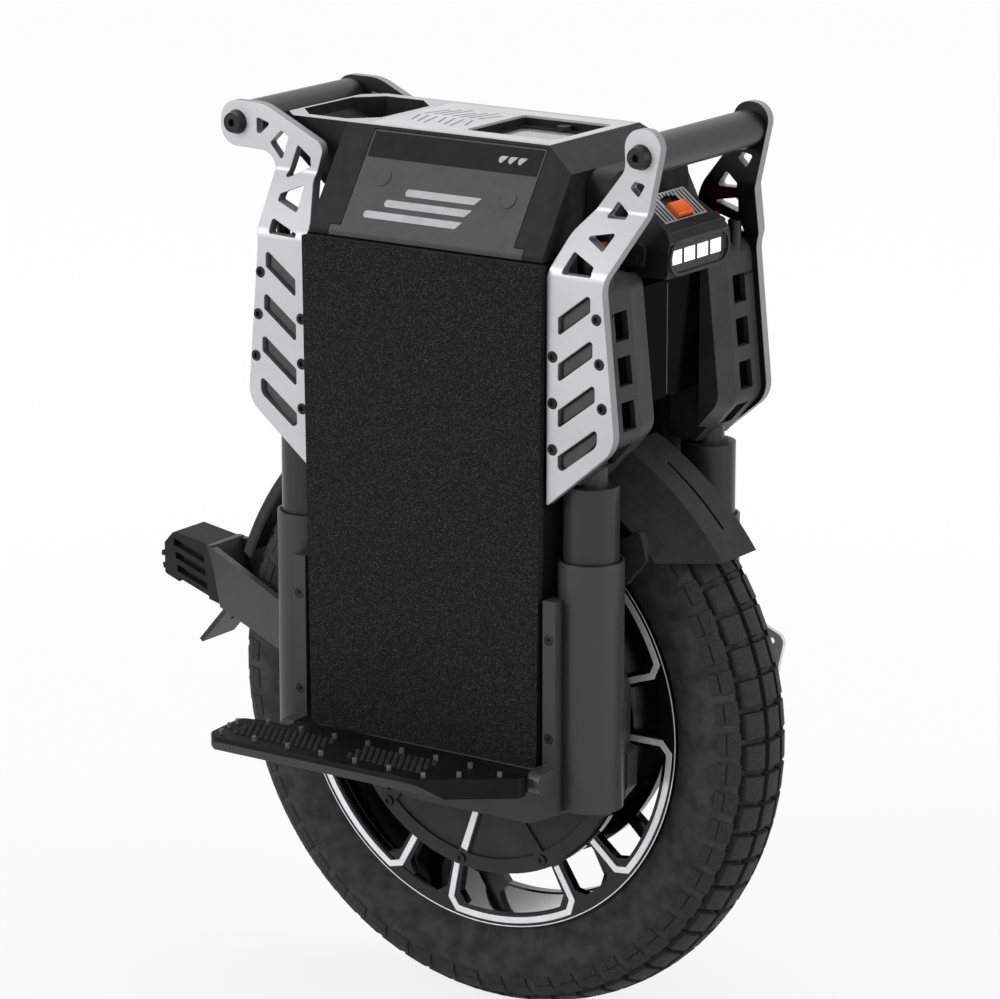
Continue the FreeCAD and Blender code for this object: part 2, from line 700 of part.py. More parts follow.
def make_hanger():
    """Front left pedal hanger: a bar along the sleeve with a lug for the hinge pin."""
    bar = box(PLATE_X0, HANGER_X1, HANGER_Y0, HANGER_Y1, AXLE_Z - HANGER_LOW, SLEEVE_Z1 - HANGER_TOP)
    bar = bar.cut(cyl_z(SLEEVE_R + TOUCH, FORK_X, FORK_Y, 0, DECK_Z))
    arm = box(PLATE_X0, HANGER_X1, HANGER_Y1 - 2, PIN_Y, PIN_Z - LUG_R, PIN_Z + LUG_R)
    eye = cyl_x(LUG_R, PIN_Y, PIN_Z, PLATE_X0, HANGER_X1)
    hanger = fused([bar, arm, eye])
    holes = [cyl_x(PIN_R + TOUCH, PIN_Y, PIN_Z, PLATE_X0, HANGER_X1)]
    for z in hanger_screw_levels():
        holes.append(cyl_y(SCREW_R + TOUCH, hanger_screw_x(), z, HANGER_Y0, HANGER_Y1))
        holes.append(cyl_y(1.7 * SCREW_R, hanger_screw_x(), z, HANGER_Y1 - 3, HANGER_Y1))
    return hanger.cut(holes)


def make_pedal_pin():
    return cyl_x(PIN_R, PIN_Y, PIN_Z, -HANGER_X1, HANGER_X1)


def make_carrier_screws():
    """Hanger screws, bridge screws and the axle nuts, for both sides."""
    x = hanger_screw_x()
    end = FORK_Y + math.sqrt(SLEEVE_BORE ** 2 - (FORK_X - x - SCREW_R) ** 2) + 0.6
    pieces = []
    for z in hanger_screw_levels():
        shank = cyl_y(SCREW_R, x, z, end, HANGER_Y1 - 3)
        head = cyl_y(1.6 * SCREW_R, x, z, HANGER_Y1 - 3, HANGER_Y1 - 0.5)
        pieces += all_corners(fused([shank, head]).cut(
            hex_prism_y(1.5 * SCREW_R, x, z, HANGER_Y1 - 2, HANGER_Y1)))
    for x, z in bridge_screw_spots():
        end = FORK_Y - math.sqrt(SLEEVE_BORE ** 2 - (abs(FORK_X - x) - SCREW_R) ** 2) - 0.6
        shank = cyl_y(SCREW_R, x, z, BRIDGE_Y0 + 3, end)
        head = cyl_y(1.8 * SCREW_R, x, z, BRIDGE_Y0 + 0.5, BRIDGE_Y0 + 3)
        pieces += all_corners(fused([shank, head]))
    nut = hex_prism_y(2 * NUT_R * math.cos(math.radians(30)), 0, AXLE_Z, NUT_Y, NUT_Y + NUT_H)
    pieces += both_sides(nut.cut(cyl_y(AXLE_THREAD_R + TOUCH, 0, AXLE_Z, 0, BRIDGE_Y1)))
    return pieces


def guard_shell(angles, top_half, skirt_half, skirt_drop):
    """Bent strip round the tyre: a flat top with a sloping skirt on each side."""
    outer = [(GUARD_R1 - skirt_drop, -skirt_half), (GUARD_R1, -top_half),
             (GUARD_R1, top_half), (GUARD_R1 - skirt_drop, skirt_half)]
    inner = [(GUARD_R0 - skirt_drop, skirt_half - 0.8), (GUARD_R0, top_half - 1),
             (GUARD_R0, 1 - top_half), (GUARD_R0 - skirt_drop, 0.8 - skirt_half)]
    ring = [section(r, y) for r, y in outer + inner]
    face = Part.Face(Part.makePolygon(ring + ring[:1]))
    sweep = angles[1] - angles[0]
    shell = face.revolve(V(0, 0, AXLE_Z), V(0, 1, 0), -sweep)
    return at_angle(shell, angles[0])


def guard_stay(angle):
    """Left stay: from the inner side of the front sleeve out to the mudguard's skirt."""
    reach = GUARD_R1 - GUARD_SKIRT_DROP
    x = reach * math.cos(math.radians(angle))
    z = AXLE_Z + reach * math.sin(math.radians(angle))
    foot = SLEEVE_Z1 - 26
    outer = BRIDGE_Y1 + TOUCH + 0.55
    stay = prism_y([(FORK_X - 10, foot, 4), (FORK_X + 14, foot, 4), (x + 8, z - 12, 4),
                    (x + 2, z + 12, 4), (FORK_X - 10, foot + 24, 4)], outer - STAY_T, outer)
    return stay.cut(cyl_z(SLEEVE_R + TOUCH, FORK_X, FORK_Y, 0, DECK_Z))


def make_front_guard():
    """Front mudguard: its foot is cut level and a slot runs along its middle."""
    start, end = FRONT_GUARD_DEG
    shell = guard_shell(FRONT_GUARD_DEG, GUARD_TOP_HALF, GUARD_SKIRT_HALF, GUARD_SKIRT_DROP)
    foot = box(0, TYRE_R + 60, -TYRE_R, TYRE_R, 0, GUARD_FOOT_Z)
    slot = box(GUARD_R0 - 5, GUARD_R1 + 5, -GUARD_SLOT_W / 2, GUARD_SLOT_W / 2, AXLE_Z - 35, AXLE_Z + 35)
    shell = shell.cut([foot, at_angle(slot, (start + end) / 2)])
    return fused([shell] + both_sides(guard_stay(start + 12)))


def make_rear_guard():
    """Rear strip, with a flared front end that carries its stays."""
    start, end = REAR_GUARD_DEG
    strip = guard_shell((start, end), GUARD_TOP_HALF, REAR_SKIRT_HALF, REAR_SKIRT_DROP)
    flare = guard_shell((start, start + 15), GUARD_TOP_HALF, GUARD_SKIRT_HALF, GUARD_SKIRT_DROP)
    stays = both_sides(mirror_x(guard_stay(180 - start - 10)))
    return fused([strip, flare] + stays)


def tail_arm():
    """Left arm: an upright plate from behind the rear sleeve in to the tail block."""
    rear = V(-TAIL_BLOCK_X - 14, TAIL_BLOCK_HALF + 2, 0)
    front = V(-FORK_X - 14, FORK_Y, 0)
    run = (front - rear).normalize()
    corners = [(rear.x, TAIL_Z1 - 7), (front.x, AXLE_Z + 67), (front.x, AXLE_Z + 26),
               (rear.x + 16, TAIL_Z0 + 2)]
    flat = [V(x, rear.y + (x - rear.x) * run.y / run.x, z) for x, z in corners]
    arm = Part.Face(Part.makePolygon(flat + flat[:1])).extrude(V(run.y, -run.x, 0) * TAIL_ARM_T)
    return arm.cut(cyl_z(SLEEVE_R + TOUCH, -FORK_X, FORK_Y, 0, DECK_Z))


def make_tail_frame():
    """Two arms joined by a crosspiece, with a sloping kick plate and its web below."""
    x = -TAIL_BLOCK_X
    half = TAIL_BLOCK_HALF + 2
    cross = prism_y([(x - 17, TAIL_Z1 - 6), (x, TAIL_Z0), (x + TAIL_PLATE_T, TAIL_Z0),
                     (x - 17 + TAIL_PLATE_T, TAIL_Z1 - 6)], -half, half)
    slope = math.radians(49)
    root = V(x + 4, 0, TAIL_Z0 + 3)
    tip = root + V(-math.cos(slope), 0, -math.sin(slope)) * KICK_LEN
    under = V(math.sin(slope), 0, -math.cos(slope)) * KICK_T
    middle = (root + tip) * 0.5 + under
    plate = prism_y([(root.x, root.z), (tip.x, tip.z), (tip.x + under.x, tip.z + under.z),
                     (root.x + under.x, root.z + under.z)], -KICK_HALF, KICK_HALF)
    web = prism_y([(root.x, root.z), (middle.x, middle.z), (x + 15, TAIL_Z0 - 6)],
                  -KICK_T / 2, KICK_T / 2)
    return fused(both_sides(tail_arm()) + [cross, plate, web])


def make_tail_block():
    """End block: slanted ends, slots in both sides and teeth across its rear face."""
    x0 = -TAIL_X
    x1 = -TAIL_BLOCK_X
    block = prism_y([(x1 - 17, TAIL_Z1 - 6, 2), (x0 + 14, TAIL_Z1, 5), (x0 + 1.4, TAIL_Z0 + 44, 5),
                     (x0, TAIL_Z0 + 32, 5), (x0 + 4, TAIL_Z0 + 20, 5), (x1 - 29, TAIL_Z0 + 7, 6),
                     (x1, TAIL_Z0, 2)], -TAIL_BLOCK_HALF, TAIL_BLOCK_HALF)
    pitch = (TAIL_BLOCK_H - 12) / TAIL_SLOTS
    cuts = []
    for i in range(TAIL_SLOTS):
        z = TAIL_Z1 - 6 - pitch * i
        rear = x0 + 14 + 1.7 * i
        slot = prism_y([(rear, z), (rear + 32, z - 11), (rear + 32, z - 11 - TAIL_SLOT_H),
                        (rear, z - TAIL_SLOT_H)], TAIL_BLOCK_HALF - TAIL_SLOT_DEPTH, TAIL_BLOCK_HALF + 1)
        cuts += both_sides(slot)
    tooth = (TAIL_BLOCK_H - 14) / TAIL_TEETH
    for i in range(TAIL_TEETH):
        z = TAIL_Z1 - 12 - tooth * i
        cuts.append(box(x0 - 1, x0 + 4, -TAIL_BLOCK_HALF, TAIL_BLOCK_HALF, z - tooth * 0.6, z))
    return block.cut(cuts)


def make_eye_plate():
    """Flat eye plate ahead of the left front sleeve."""
    x0 = FORK_X + SLEEVE_R
    x1 = x0 + EYE_REACH
    plate = prism_y([(x0 - 6, AXLE_Z + 12, 2), (x1 - 8, AXLE_Z + 30, 6), (x1, AXLE_Z + 66, 8),
                     (x1 - 21, AXLE_Z + 75, 12), (x0 - 6, AXLE_Z + 76, 2)],
                    FORK_Y - EYE_T / 2, FORK_Y + EYE_T / 2)
    plate = plate.cut(cyl_z(SLEEVE_R + TOUCH, FORK_X, FORK_Y, 0, DECK_Z))
    return plate.cut(cyl_y(EYE_HOLE_R, x1 - 12, AXLE_Z + 62, FORK_Y - EYE_T, FORK_Y + EYE_T))


# Chassis: beams and side cases

def make_beams():
    """Top plate over the wheel and a crossmember at each end, joined to the brackets."""
    half = PANEL_X - 10
    wide = PLATE_X0 - 1
    top = fused([box(-wide, wide, -INNER_Y0, INNER_Y0, ROOF_Z, BEAM_Z1),
                 box(-half, half, -BRACKET_Y0, BRACKET_Y0, ROOF_Z, BEAM_Z1)])
    rail = box(half, PANEL_X, -BRACKET_Y0, BRACKET_Y0, ROOF_Z - BEAM_DEPTH, BEAM_Z1)
    return [top, rail, mirror_x(rail)]


def make_side_case():
    """Left battery case: a tray that opens towards the wheel."""
    outer = box(-SIDE_HALF_X, SIDE_HALF_X, INNER_Y1, SIDE_Y1, SIDE_Z0, PAD_Z1)
    upright = [e for e in outer.Edges if e.BoundBox.ZLength > SIDE_DEPTH and e.BoundBox.YMin > SIDE_Y1 - 1]
    outer = outer.makeFillet(SIDE_EDGE_R, upright)
    inside = box(SIDE_WALL - SIDE_HALF_X, SIDE_HALF_X - SIDE_WALL, INNER_Y1, SIDE_Y1 - SIDE_WALL,
                 SIDE_Z0 + SIDE_WALL, PAD_Z1 - SIDE_WALL)
    return outer.cut(inside)


def make_inner_cover():
    return box(-SIDE_HALF_X, SIDE_HALF_X, INNER_Y0, INNER_Y1, SIDE_Z0, PAD_Z1)


def make_battery():
    """Battery pack: rows of cells wrapped in film, seen as shallow ribs."""
    x = SIDE_HALF_X - SIDE_WALL - 3
    y0 = INNER_Y1 + 2
    y1 = SIDE_Y1 - SIDE_WALL - 2
    z0 = SIDE_Z0 + SIDE_WALL
    pack = box(-x, x, y0, y1, z0, z0 + BATTERY_LEN)
    pitch = BATTERY_LEN / CELL_ROWS
    cuts = [cyl_x(2, y1, z0 + pitch * i, -x, x) for i in range(1, CELL_ROWS)]
    return pack.cut(cuts)


def make_pad():
    """Left side pad: a flat panel, a little narrower at its foot."""
    top = PLATE_X0 - MOVE_GAP
    foot = top - PAD_TAPER
    return prism_y([(-foot, SIDE_Z0, 3), (foot, SIDE_Z0, 3), (top, PAD_Z1, 2), (-top, PAD_Z1, 2)],
                   SIDE_Y1, PAD_Y1)


# Chassis: top case

def side_lean():
    """Angle by which the case's sides lean in from upright."""
    return math.atan2(SIDE_Y1 - DECK_HALF, DECK_Z - CASE_Z0 - CASE_SILL)


def slope_y(z, depth):
    """Half width of the case's sloping sides at a height, this deep inside the outer face."""
    lean = side_lean()
    rise = z - CASE_Z0 - CASE_SILL
    return SIDE_Y1 - rise * math.tan(lean) - depth / math.cos(lean)


def mirrored(half):
    return half + [(-y, z) for y, z in reversed(half)]


def case_body():
    """Case without its tail: a narrow foot between the side cases under a sloping hood."""
    neck = INNER_Y0 - TOUCH
    top = DECK_Z - CASE_WALL
    shelf = CASE_Z0 + CASE_WALL
    outer = [(neck, BEAM_Z1), (neck, CASE_Z0), (SIDE_Y1, CASE_Z0), (SIDE_Y1, CASE_Z0 + CASE_SILL),
             (DECK_HALF, DECK_Z)]
    inner = [(neck - CASE_WALL, BEAM_Z1), (neck - CASE_WALL, shelf), (slope_y(shelf, CASE_WALL), shelf),
             (slope_y(top, CASE_WALL), top)]
    end = CASE_HALF_X - CASE_WALL
    return prism_x(mirrored(outer), -CASE_HALF_X, CASE_HALF_X), prism_x(mirrored(inner), -end, end)


def hatch_outline(gap):
    """Outline of a hatch seen from the side, grown by a gap."""
    foot = HATCH_FOOT + gap
    half = HATCH_HALF + gap
    sill = CASE_Z0 + HATCH_FOOT_H + gap
    return [(-foot, CASE_Z0 - gap), (foot, CASE_Z0 - gap), (foot, sill, 1), (half, sill, 1),
            (half, DECK_Z - 3 + gap, 2), (-half, DECK_Z - 3 + gap, 2), (-half, sill, 1),
            (-foot, sill, 1)]


def hatch_slab(depth):
    """Band along the case's left side that a hatch lies in."""
    low = CASE_Z0 - 1
    knee = CASE_Z0 + CASE_SILL
    deep_knee = knee - depth * math.tan(side_lean() / 2)
    return prism_x([(SIDE_Y1, low), (SIDE_Y1, knee), (DECK_HALF, DECK_Z), (slope_y(DECK_Z, depth), DECK_Z),
                    (SIDE_Y1 - depth, deep_knee), (SIDE_Y1 - depth, low)], -CASE_HALF_X, CASE_HALF_X)


def make_hatch():
    body = prism_y(hatch_outline(0), 0, SIDE_Y1 + 1).common(hatch_slab(HATCH_T))
    return body.cut(box(-CASE_HALF_X, CASE_HALF_X, 0, SIDE_Y1 + 1, 0, CASE_Z0 + TOUCH))


def power_spot():
    return (SCREEN_X[0] + SCREEN_X[1]) / 2, SCREEN_HALF - POWER_R - 1


def octagon(x0, x1, half, corner):
    """Plan outline of a rectangle with its four corners cut off."""
    return [(x0, corner - half), (x0 + corner, -half), (x1 - corner, -half), (x1, corner - half),
            (x1, half - corner), (x1 - corner, half), (x0 + corner, half), (x0, half - corner)]


def case_tail():
    """Overhang behind the case that carries the rear end of the grip well."""
    x0 = -CASE_TAIL_X
    side = prism_y([(-CASE_HALF_X, CASE_Z0 + 4), (x0 + 55, DECK_Z - 58), (x0 + 26, DECK_Z - 33.5),
                    (x0, DECK_Z - CASE_TAIL_T, 4), (x0, DECK_Z, 3), (-CASE_HALF_X, DECK_Z)],
                   -DECK_HALF, DECK_HALF)
    return side.common(prism_z(octagon(x0, 0, DECK_HALF, TAIL_CORNER), CASE_Z0, DECK_Z + 1))


def case_facet():
    """Wedge that slopes the front of the deck over the whole width."""
    x = CASE_HALF_X - FACET_LEN
    return prism_y([(x, DECK_Z), (CASE_HALF_X, DECK_Z - FACET_DROP), (CASE_HALF_X + 1, DECK_Z + 1),
                    (x, DECK_Z + 1)], -SIDE_Y1, SIDE_Y1)


def grip_well(grow, z1):
    """Space of the grip well: a flat floor that ramps up towards the tail."""
    x0 = WELL_X[0] - grow
    x1 = WELL_X[1] + grow
    half = WELL_HALF + grow
    floor = DECK_Z - WELL_DEPTH - grow
    side = prism_y([(x0, z1), (x0, floor + 0.9 * WELL_RAMP), (x0 + WELL_RAMP, floor), (x1, floor), (x1, z1)],
                   -half, half)
    return side.common(prism_z(octagon(x0, x1, half, WELL_CORNER), floor - 1, z1 + 1))


def screen_recess(grow, z0, z1):
    x0 = SCREEN_X[0] - grow
    x1 = SCREEN_X[1] + grow
    half = SCREEN_HALF + grow
    return prism_z([(x0, -half, 6), (x0, half, 6), (x1, half, 6), (x1, -half, 6)], z0, z1)


def make_top_case():
    """Hollow case over the wheel with the deck, a grip well and a screen recess."""
    body, hollow = case_body()
    hollow = hollow.cut(case_facet().translated(V(-CASE_WALL, 0, -CASE_WALL)))
    case = fused([body, case_tail()]).cut(hollow)
    floor = DECK_Z - SCREEN_DEPTH
    tray = screen_recess(CASE_WALL, floor - CASE_WALL, DECK_Z - 1)
    case = fused([case, grip_well(WELL_WALL, DECK_Z - 1), tray])
    x, y = power_spot()
    button = cyl_z(POWER_R + KEY_GAP, x, y, ROOF_Z, DECK_Z)
    inlay = deck_panel_shape(TOUCH, DECK_Z - DECK_PANEL_T, DECK_Z + 1)
    seat = prism_y(hatch_outline(HATCH_SEAM), 0, SIDE_Y1 + 1).common(hatch_slab(HATCH_T + TOUCH))
    cuts = [grip_well(0, DECK_Z + 1), screen_recess(0, floor, DECK_Z + 1), button, inlay, case_facet()]
    return case.cut(cuts + both_sides(seat))


def deck_panel_shape(grow, z0, z1):
    x0 = DECK_PANEL_X[0] - grow
    x1 = DECK_PANEL_X[1] + grow
    half = DECK_PANEL_HALF + grow
    return prism_z([(x0, -half, 4), (x0, half, 4), (x1, half, 4), (x1, -half, 4)], z0, z1)


def make_deck_panel():
    """Flat panel let into the deck, open over the screen recess."""
    panel = deck_panel_shape(0, DECK_Z - DECK_PANEL_T, DECK_Z)
    return panel.cut(screen_recess(0, DECK_Z - DECK_PANEL_T, DECK_Z))


def make_screen():
    floor = DECK_Z - SCREEN_DEPTH
    edge = SCREEN_HALF - 2 * POWER_R - 3
    return prism_z([(SCREEN_X[0] + 4, -edge, 3), (SCREEN_X[0] + 4, edge, 3),
                    (SCREEN_X[1] - 4, edge, 3), (SCREEN_X[1] - 4, -edge, 3)], floor, floor + SCREEN_T)


def make_power_button():
    x, y = power_spot()
    floor = DECK_Z - SCREEN_DEPTH
    return cyl_z(POWER_R, x, y, floor - CASE_WALL, floor + POWER_H)


def make_board():
    """Controller board on standoffs, with its capacitors and heat sink."""
    half = CASE_HALF_X - BOARD_INSET
    wide = INNER_Y0 - CASE_WALL - BOARD_GAP
    low = BEAM_Z1 + BOARD_RISE
    top = low + BOARD_T
    plate = box(-half, half, -wide, wide, low, top)
    posts = [cyl_z(BOARD_POST_R, x * (half - 2 * BOARD_POST_R), y * (wide - 2 * BOARD_POST_R), BEAM_Z1, low)
             for x in (-1, 1) for y in (-1, 1)]
    cans = [cyl_z(CAN_R, half * x, wide - 2 * CAN_R, top - 1, top + CAN_H)
            for x in (-0.62, -0.31, 0, 0.31, 0.62)]
    sink = box(-0.75 * half, 0.75 * half, -0.86 * wide, -0.23 * wide, top - 1, top + SINK_H)
    return fused([plate] + posts + cans + [sink])


# Chassis: fork brackets, tubes and side plates

def bracket_outline(inset, back):
    z1 = BRACKET_Z1 - inset
    z0 = BRACKET_Z0 + inset
    x0 = PLATE_X0 + 0.5 + back
    x1 = FORK_X + BRACKET_OUT - inset
    return [(x0, z0), (FORK_X + 3.5 - inset / 2, z0), (x1, z0 + 36, 20), (x1 - 13, z1, BRACKET_TOP_R - inset),
            (x0, z1)]


def plate_screw_spots():
    """Six screw centres on a side plate: three by the pad and three at the outer edge."""
    inner = [(PLATE_X0 + 5.2, BODY_Z0 + 45.5 + 36.6 * i) for i in range(3)]
    outer = [(FORK_X + 29 - 2.7 * i, BODY_Z0 + 83.5 + 34.4 * i) for i in range(3)]
    return inner + outer


def valve_spot():
    turn = math.radians(VALVE_DEG)
    reach = NECK_R + POST_R + 0.5
    return FORK_X + reach * math.cos(turn), FORK_Y + reach * math.sin(turn)


def make_bracket():
    """Front left fork bracket: a hollow block with a bevelled lip inside and windows in its outer end."""
    lip_x = PANEL_X + PANEL_T + 0.5
    lip_y = BRACKET_Y0 - BRACKET_LIP
    edge_y = BRACKET_Y0 + 10
    block = prism_y(bracket_outline(0, 0), edge_y, PLATE_Y0)
    rims = [outline(bracket_outline(0, 0), lambda x, z: V(x, edge_y, z)),
            outline(bracket_outline(BRACKET_BEVEL, 0), lambda x, z: V(x, lip_y, z))]
    block = fused([block, Part.makeLoft(rims, True, True)])
    room = prism_y(bracket_outline(BRACKET_WALL, BRACKET_WALL), lip_y + BRACKET_WALL, PLATE_Y0 - BRACKET_WALL)
    cavity = room.cut(box(0, lip_x + BRACKET_WALL, 0, BRACKET_Y0 + 6, 0, DECK_Z))
    cuts = [cavity, box(0, lip_x, 0, BRACKET_Y0, 0, DECK_Z),
            cyl_z(NECK_R + TOUCH, FORK_X, FORK_Y, BRACKET_Z0, BRACKET_Z1),
            cyl_z(POST_R + TOUCH, *valve_spot(), BRACKET_Z1 - POST_SINK, BRACKET_Z1 + 1)]
    pitch = (BRACKET_RISE - 77) / BRACKET_WINDOWS
    levels = [(BRACKET_Z0 + 43.5 + pitch * i, BRACKET_WINDOW_H) for i in range(BRACKET_WINDOWS)]
    levels.append((BRACKET_Z0 + 13, 18))
    window_y = PLATE_Y0 - BRACKET_WINDOW_EDGE
    for z, high in levels:
        cuts.append(box(FORK_X + 10, FORK_X + BRACKET_OUT + 5, window_y - BRACKET_WINDOW_W, window_y,
                        z, z + high))
    for x, z in plate_screw_spots():
        cuts.append(cyl_y(SCREW_R + TOUCH, x, z, PLATE_Y0 - 12, PLATE_Y0))
    return block.cut(cuts)


def make_fork_tube():
    """Front left fork tube: a closed tube with a seal head below and a neck above."""
    tube = cyl_z(TUBE_R, FORK_X, FORK_Y, TUBE_Z0, TUBE_Z1)
    neck = cyl_z(NECK_R, FORK_X, FORK_Y, TUBE_Z1, BRACKET_Z1)
    cavity = cyl_z(TUBE_BORE, FORK_X, FORK_Y, TUBE_Z0 + TUBE_END_T, TUBE_Z1 - TUBE_END_T)
    rod = cyl_z(ROD_R + RUN_FIT, FORK_X, FORK_Y, TUBE_Z0, TUBE_Z0 + TUBE_END_T)
    return fused([tube, neck]).cut([cavity, rod])


def make_fork_cap():
    cap = cyl_z(CAP_R, FORK_X, FORK_Y, BRACKET_Z1, BRACKET_Z1 + CAP_H)
    return cap.makeChamfer(1.2, [e for e in cap.Edges if e.BoundBox.ZMin > BRACKET_Z1 + 1])


def make_valve_post():
    """Capped air valve of the front left fork leg, on the bracket ahead of the cap."""
    post = cyl_z(POST_R, *valve_spot(), BRACKET_Z1 - POST_SINK, BRACKET_Z1 + POST_H)
    return post.makeChamfer(1.2, [e for e in post.Edges if e.BoundBox.ZMin > BRACKET_Z1 + 1])


def make_lever():
    """Front left damping lever: a hub with an arm that points to the middle."""
    z0 = BRACKET_Z1 + CAP_H + KEY_GAP
    hub = cyl_z(LEVER_R, FORK_X, FORK_Y, z0, z0 + LEVER_H)
    arm = prism_z([(FORK_X - 4, FORK_Y), (FORK_X + 4, FORK_Y), (FORK_X + 3, FORK_Y - LEVER_LEN, 2),
                   (FORK_X - 3, FORK_Y - LEVER_LEN, 2)], z0, z0 + LEVER_H)
    return fused([hub, arm])


def front_plate_outline():
    bar = (FRONT_BAR_X, FRONT_BAR_Z)
    return [(PLATE_X0, BODY_Z0, 1), (FORK_X + 41, BODY_Z0 + 52.5, 24), (FORK_X + 28.5, BODY_Z0 + 176, 30),
            (bar[0] + 7.5, bar[1] - 43, 40), (bar[0] + 21.5, bar[1] + 21.5, 20),
            (bar[0] - 15, bar[1] + 21.5, 18), (bar[0] - 13.5, bar[1] - 11, 14),
            (bar[0] - 53, bar[1] - 61, 25), (PLATE_X0, BRACKET_Z1, 12)]


def rear_plate_outline():
    bar = (REAR_BAR_X, REAR_BAR_Z)
    return [(PLATE_X0, BODY_Z0, 1), (FORK_X + 37, BODY_Z0 + 47, 24), (FORK_X + 25.5, BODY_Z0 + 178, 40),
            (bar[0] - 37, bar[1] - 20.5, 14), (bar[0] + 16, bar[1] - 19, 16),
            (bar[0] + 16, bar[1] + 17.5, 16), (bar[0] - 27, bar[1] + 17.5, 40),
            (bar[0] - 87, bar[1] - 11, 9), (bar[0] - 78.5, bar[1] - 38, 14),
            (PLATE_X0 - 0.5, PAD_Z1 + 4, 16), (PLATE_X0, BRACKET_Z1 - 5)]


def front_truss():
    """Truss holes of a front plate, as offsets from the bar's centre."""
    return [[(-9, -24.5), (-5, -19), (4.5, -21), (-1.5, -31.5)],
            [(-29, -49), (-19.5, -35.5), (-10, -44.5), (-11, -48.5)],
            [(-40, -63), (-14, -58), (-20, -72)],
            [(-49.5, -90), (-44.5, -73.5), (-22.5, -82.5), (-22.5, -90)]]


def rear_truss():
    """Truss holes of a rear plate, as offsets from the bar's centre."""
    return [[(-20, 6), (-33.7, 1.8), (-24, -7.2), (-20, -7.2)],
            [(-33.4, -13.5), (-44.5, -2.7), (-51.9, -7), (-45, -27)],
            [(-51, -38.5), (-61, -12.5), (-73.4, -21.5), (-73.9, -29), (-54.6, -39)],
            [(-53.2, -56), (-53.1, -50.8), (-72.5, -42.5), (-76, -63)],
            [(-56.6, -79.5), (-54.8, -68), (-83.3, -77.3), (-82.2, -80.5)]]


def joggle_band():
    """Bent band that a left side plate is cut from: upright, sloping in, upright."""
    slope = math.atan2(SIDE_Y1 - PLATE_UPPER_Y, JOGGLE_H)
    back = PLATE_T * math.tan(slope / 2)
    high = DECK_Z + 60
    return prism_x([(SIDE_Y1, BODY_Z0 - 5), (SIDE_Y1, JOGGLE_Z0, 14), (PLATE_UPPER_Y, JOGGLE_Z1, 6),
                    (PLATE_UPPER_Y, high), (UPPER_Y0, high), (UPPER_Y0, JOGGLE_Z1 - back, 14),
                    (PLATE_Y0, JOGGLE_Z0 - back, 6), (PLATE_Y0, BODY_Z0 - 5)],
                   PLATE_X0 - 10, REAR_BAR_X + 40)


def slot_outline(i):
    """One slanted slot of a side plate; the lowest has a rounded foot."""
    z = BODY_Z0 + 135.5 - SLOT_PITCH * i
    x0 = PLATE_X0 + 10.3
    x1 = FORK_X + 18 + 2.2 * i
    rise = (x1 - x0) * 0.75
    foot = 9 if i == SLOT_COUNT - 1 else 1.5
    return [(x0, z, foot), (x1, z + rise, foot), (x1, z + rise + SLOT_H, 2.5), (x0, z + SLOT_H, 1.5)]


def make_side_plate(points, truss, bar_x, bar_z):
    """Left side plate: its outline cut from the bent band, then slots and holes."""
    plate = prism_y(points, 0, SIDE_Y1 + 1).common(joggle_band())
    cuts = [prism_y(slot_outline(i), PLATE_Y0 - 1, SIDE_Y1 + 1) for i in range(SLOT_COUNT)]
    for hole in truss:
        cuts.append(prism_y([(bar_x + x, bar_z + z, 1.6) for x, z in hole], 0, SIDE_Y1 + 1))
    cuts.append(cyl_y(BAR_BOLT_R + TOUCH, bar_x, bar_z, UPPER_Y0 - 1, PLATE_UPPER_Y + 1))
    for x, z in plate_screw_spots():
        cuts.append(cyl_y(SCREW_R + TOUCH, x, z, PLATE_Y0 - 1, SIDE_Y1 + 1))
        cuts.append(Part.makeCone(SCREW_R, PLATE_SCREW_HEAD_R + TOUCH, 3, V(x, SIDE_Y1 - 3, z), V(0, 1, 0)))
    return plate.cut(cuts)


def make_plate_screws():
    """Countersunk screws that hold the four side plates to their brackets."""
    pieces = []
    for x, z in plate_screw_spots():
        head = Part.makeCone(SCREW_R, PLATE_SCREW_HEAD_R, 3, V(x, SIDE_Y1 - 3, z), V(0, 1, 0))
        shank = cyl_y(SCREW_R, x, z, PLATE_Y0 - 10, SIDE_Y1 - 3)
        socket = hex_prism_y(1.9 * SCREW_R, x, z, SIDE_Y1 - 2, SIDE_Y1 + 1)
        pieces += all_corners(fused([shank, head]).cut(socket))
    return pieces


def make_bar(x, z):
    """Grab bar across the plates: a tube with a solid plug in each end."""
    bar = cyl_y(BAR_R, x, z, -UPPER_Y0, UPPER_Y0)
    bore = cyl_y(BAR_R - BAR_WALL, x, z, BAR_PLUG - UPPER_Y0, UPPER_Y0 - BAR_PLUG)
    ends = both_sides(cyl_y(BAR_BOLT_R + TOUCH, x, z, UPPER_Y0 - BAR_PLUG, UPPER_Y0))
    return bar.cut([bore] + ends)


def make_bar_bolts(x, z):
    shank = cyl_y(BAR_BOLT_R, x, z, UPPER_Y0 - BAR_PLUG + 2, PLATE_UPPER_Y)
    head = Part.makeCone(BAR_BOLT_HEAD_R, BAR_BOLT_HEAD_R - 2, BAR_BOLT_HEAD_H,
                         V(x, PLATE_UPPER_Y, z), V(0, 1, 0))
    socket = hex_prism_y(6, x, z, PLATE_UPPER_Y + 3, PLATE_UPPER_Y + BAR_BOLT_HEAD_H + 1)
    return both_sides(fused([shank, head]).cut(socket))


# Chassis: end panels and headlamp

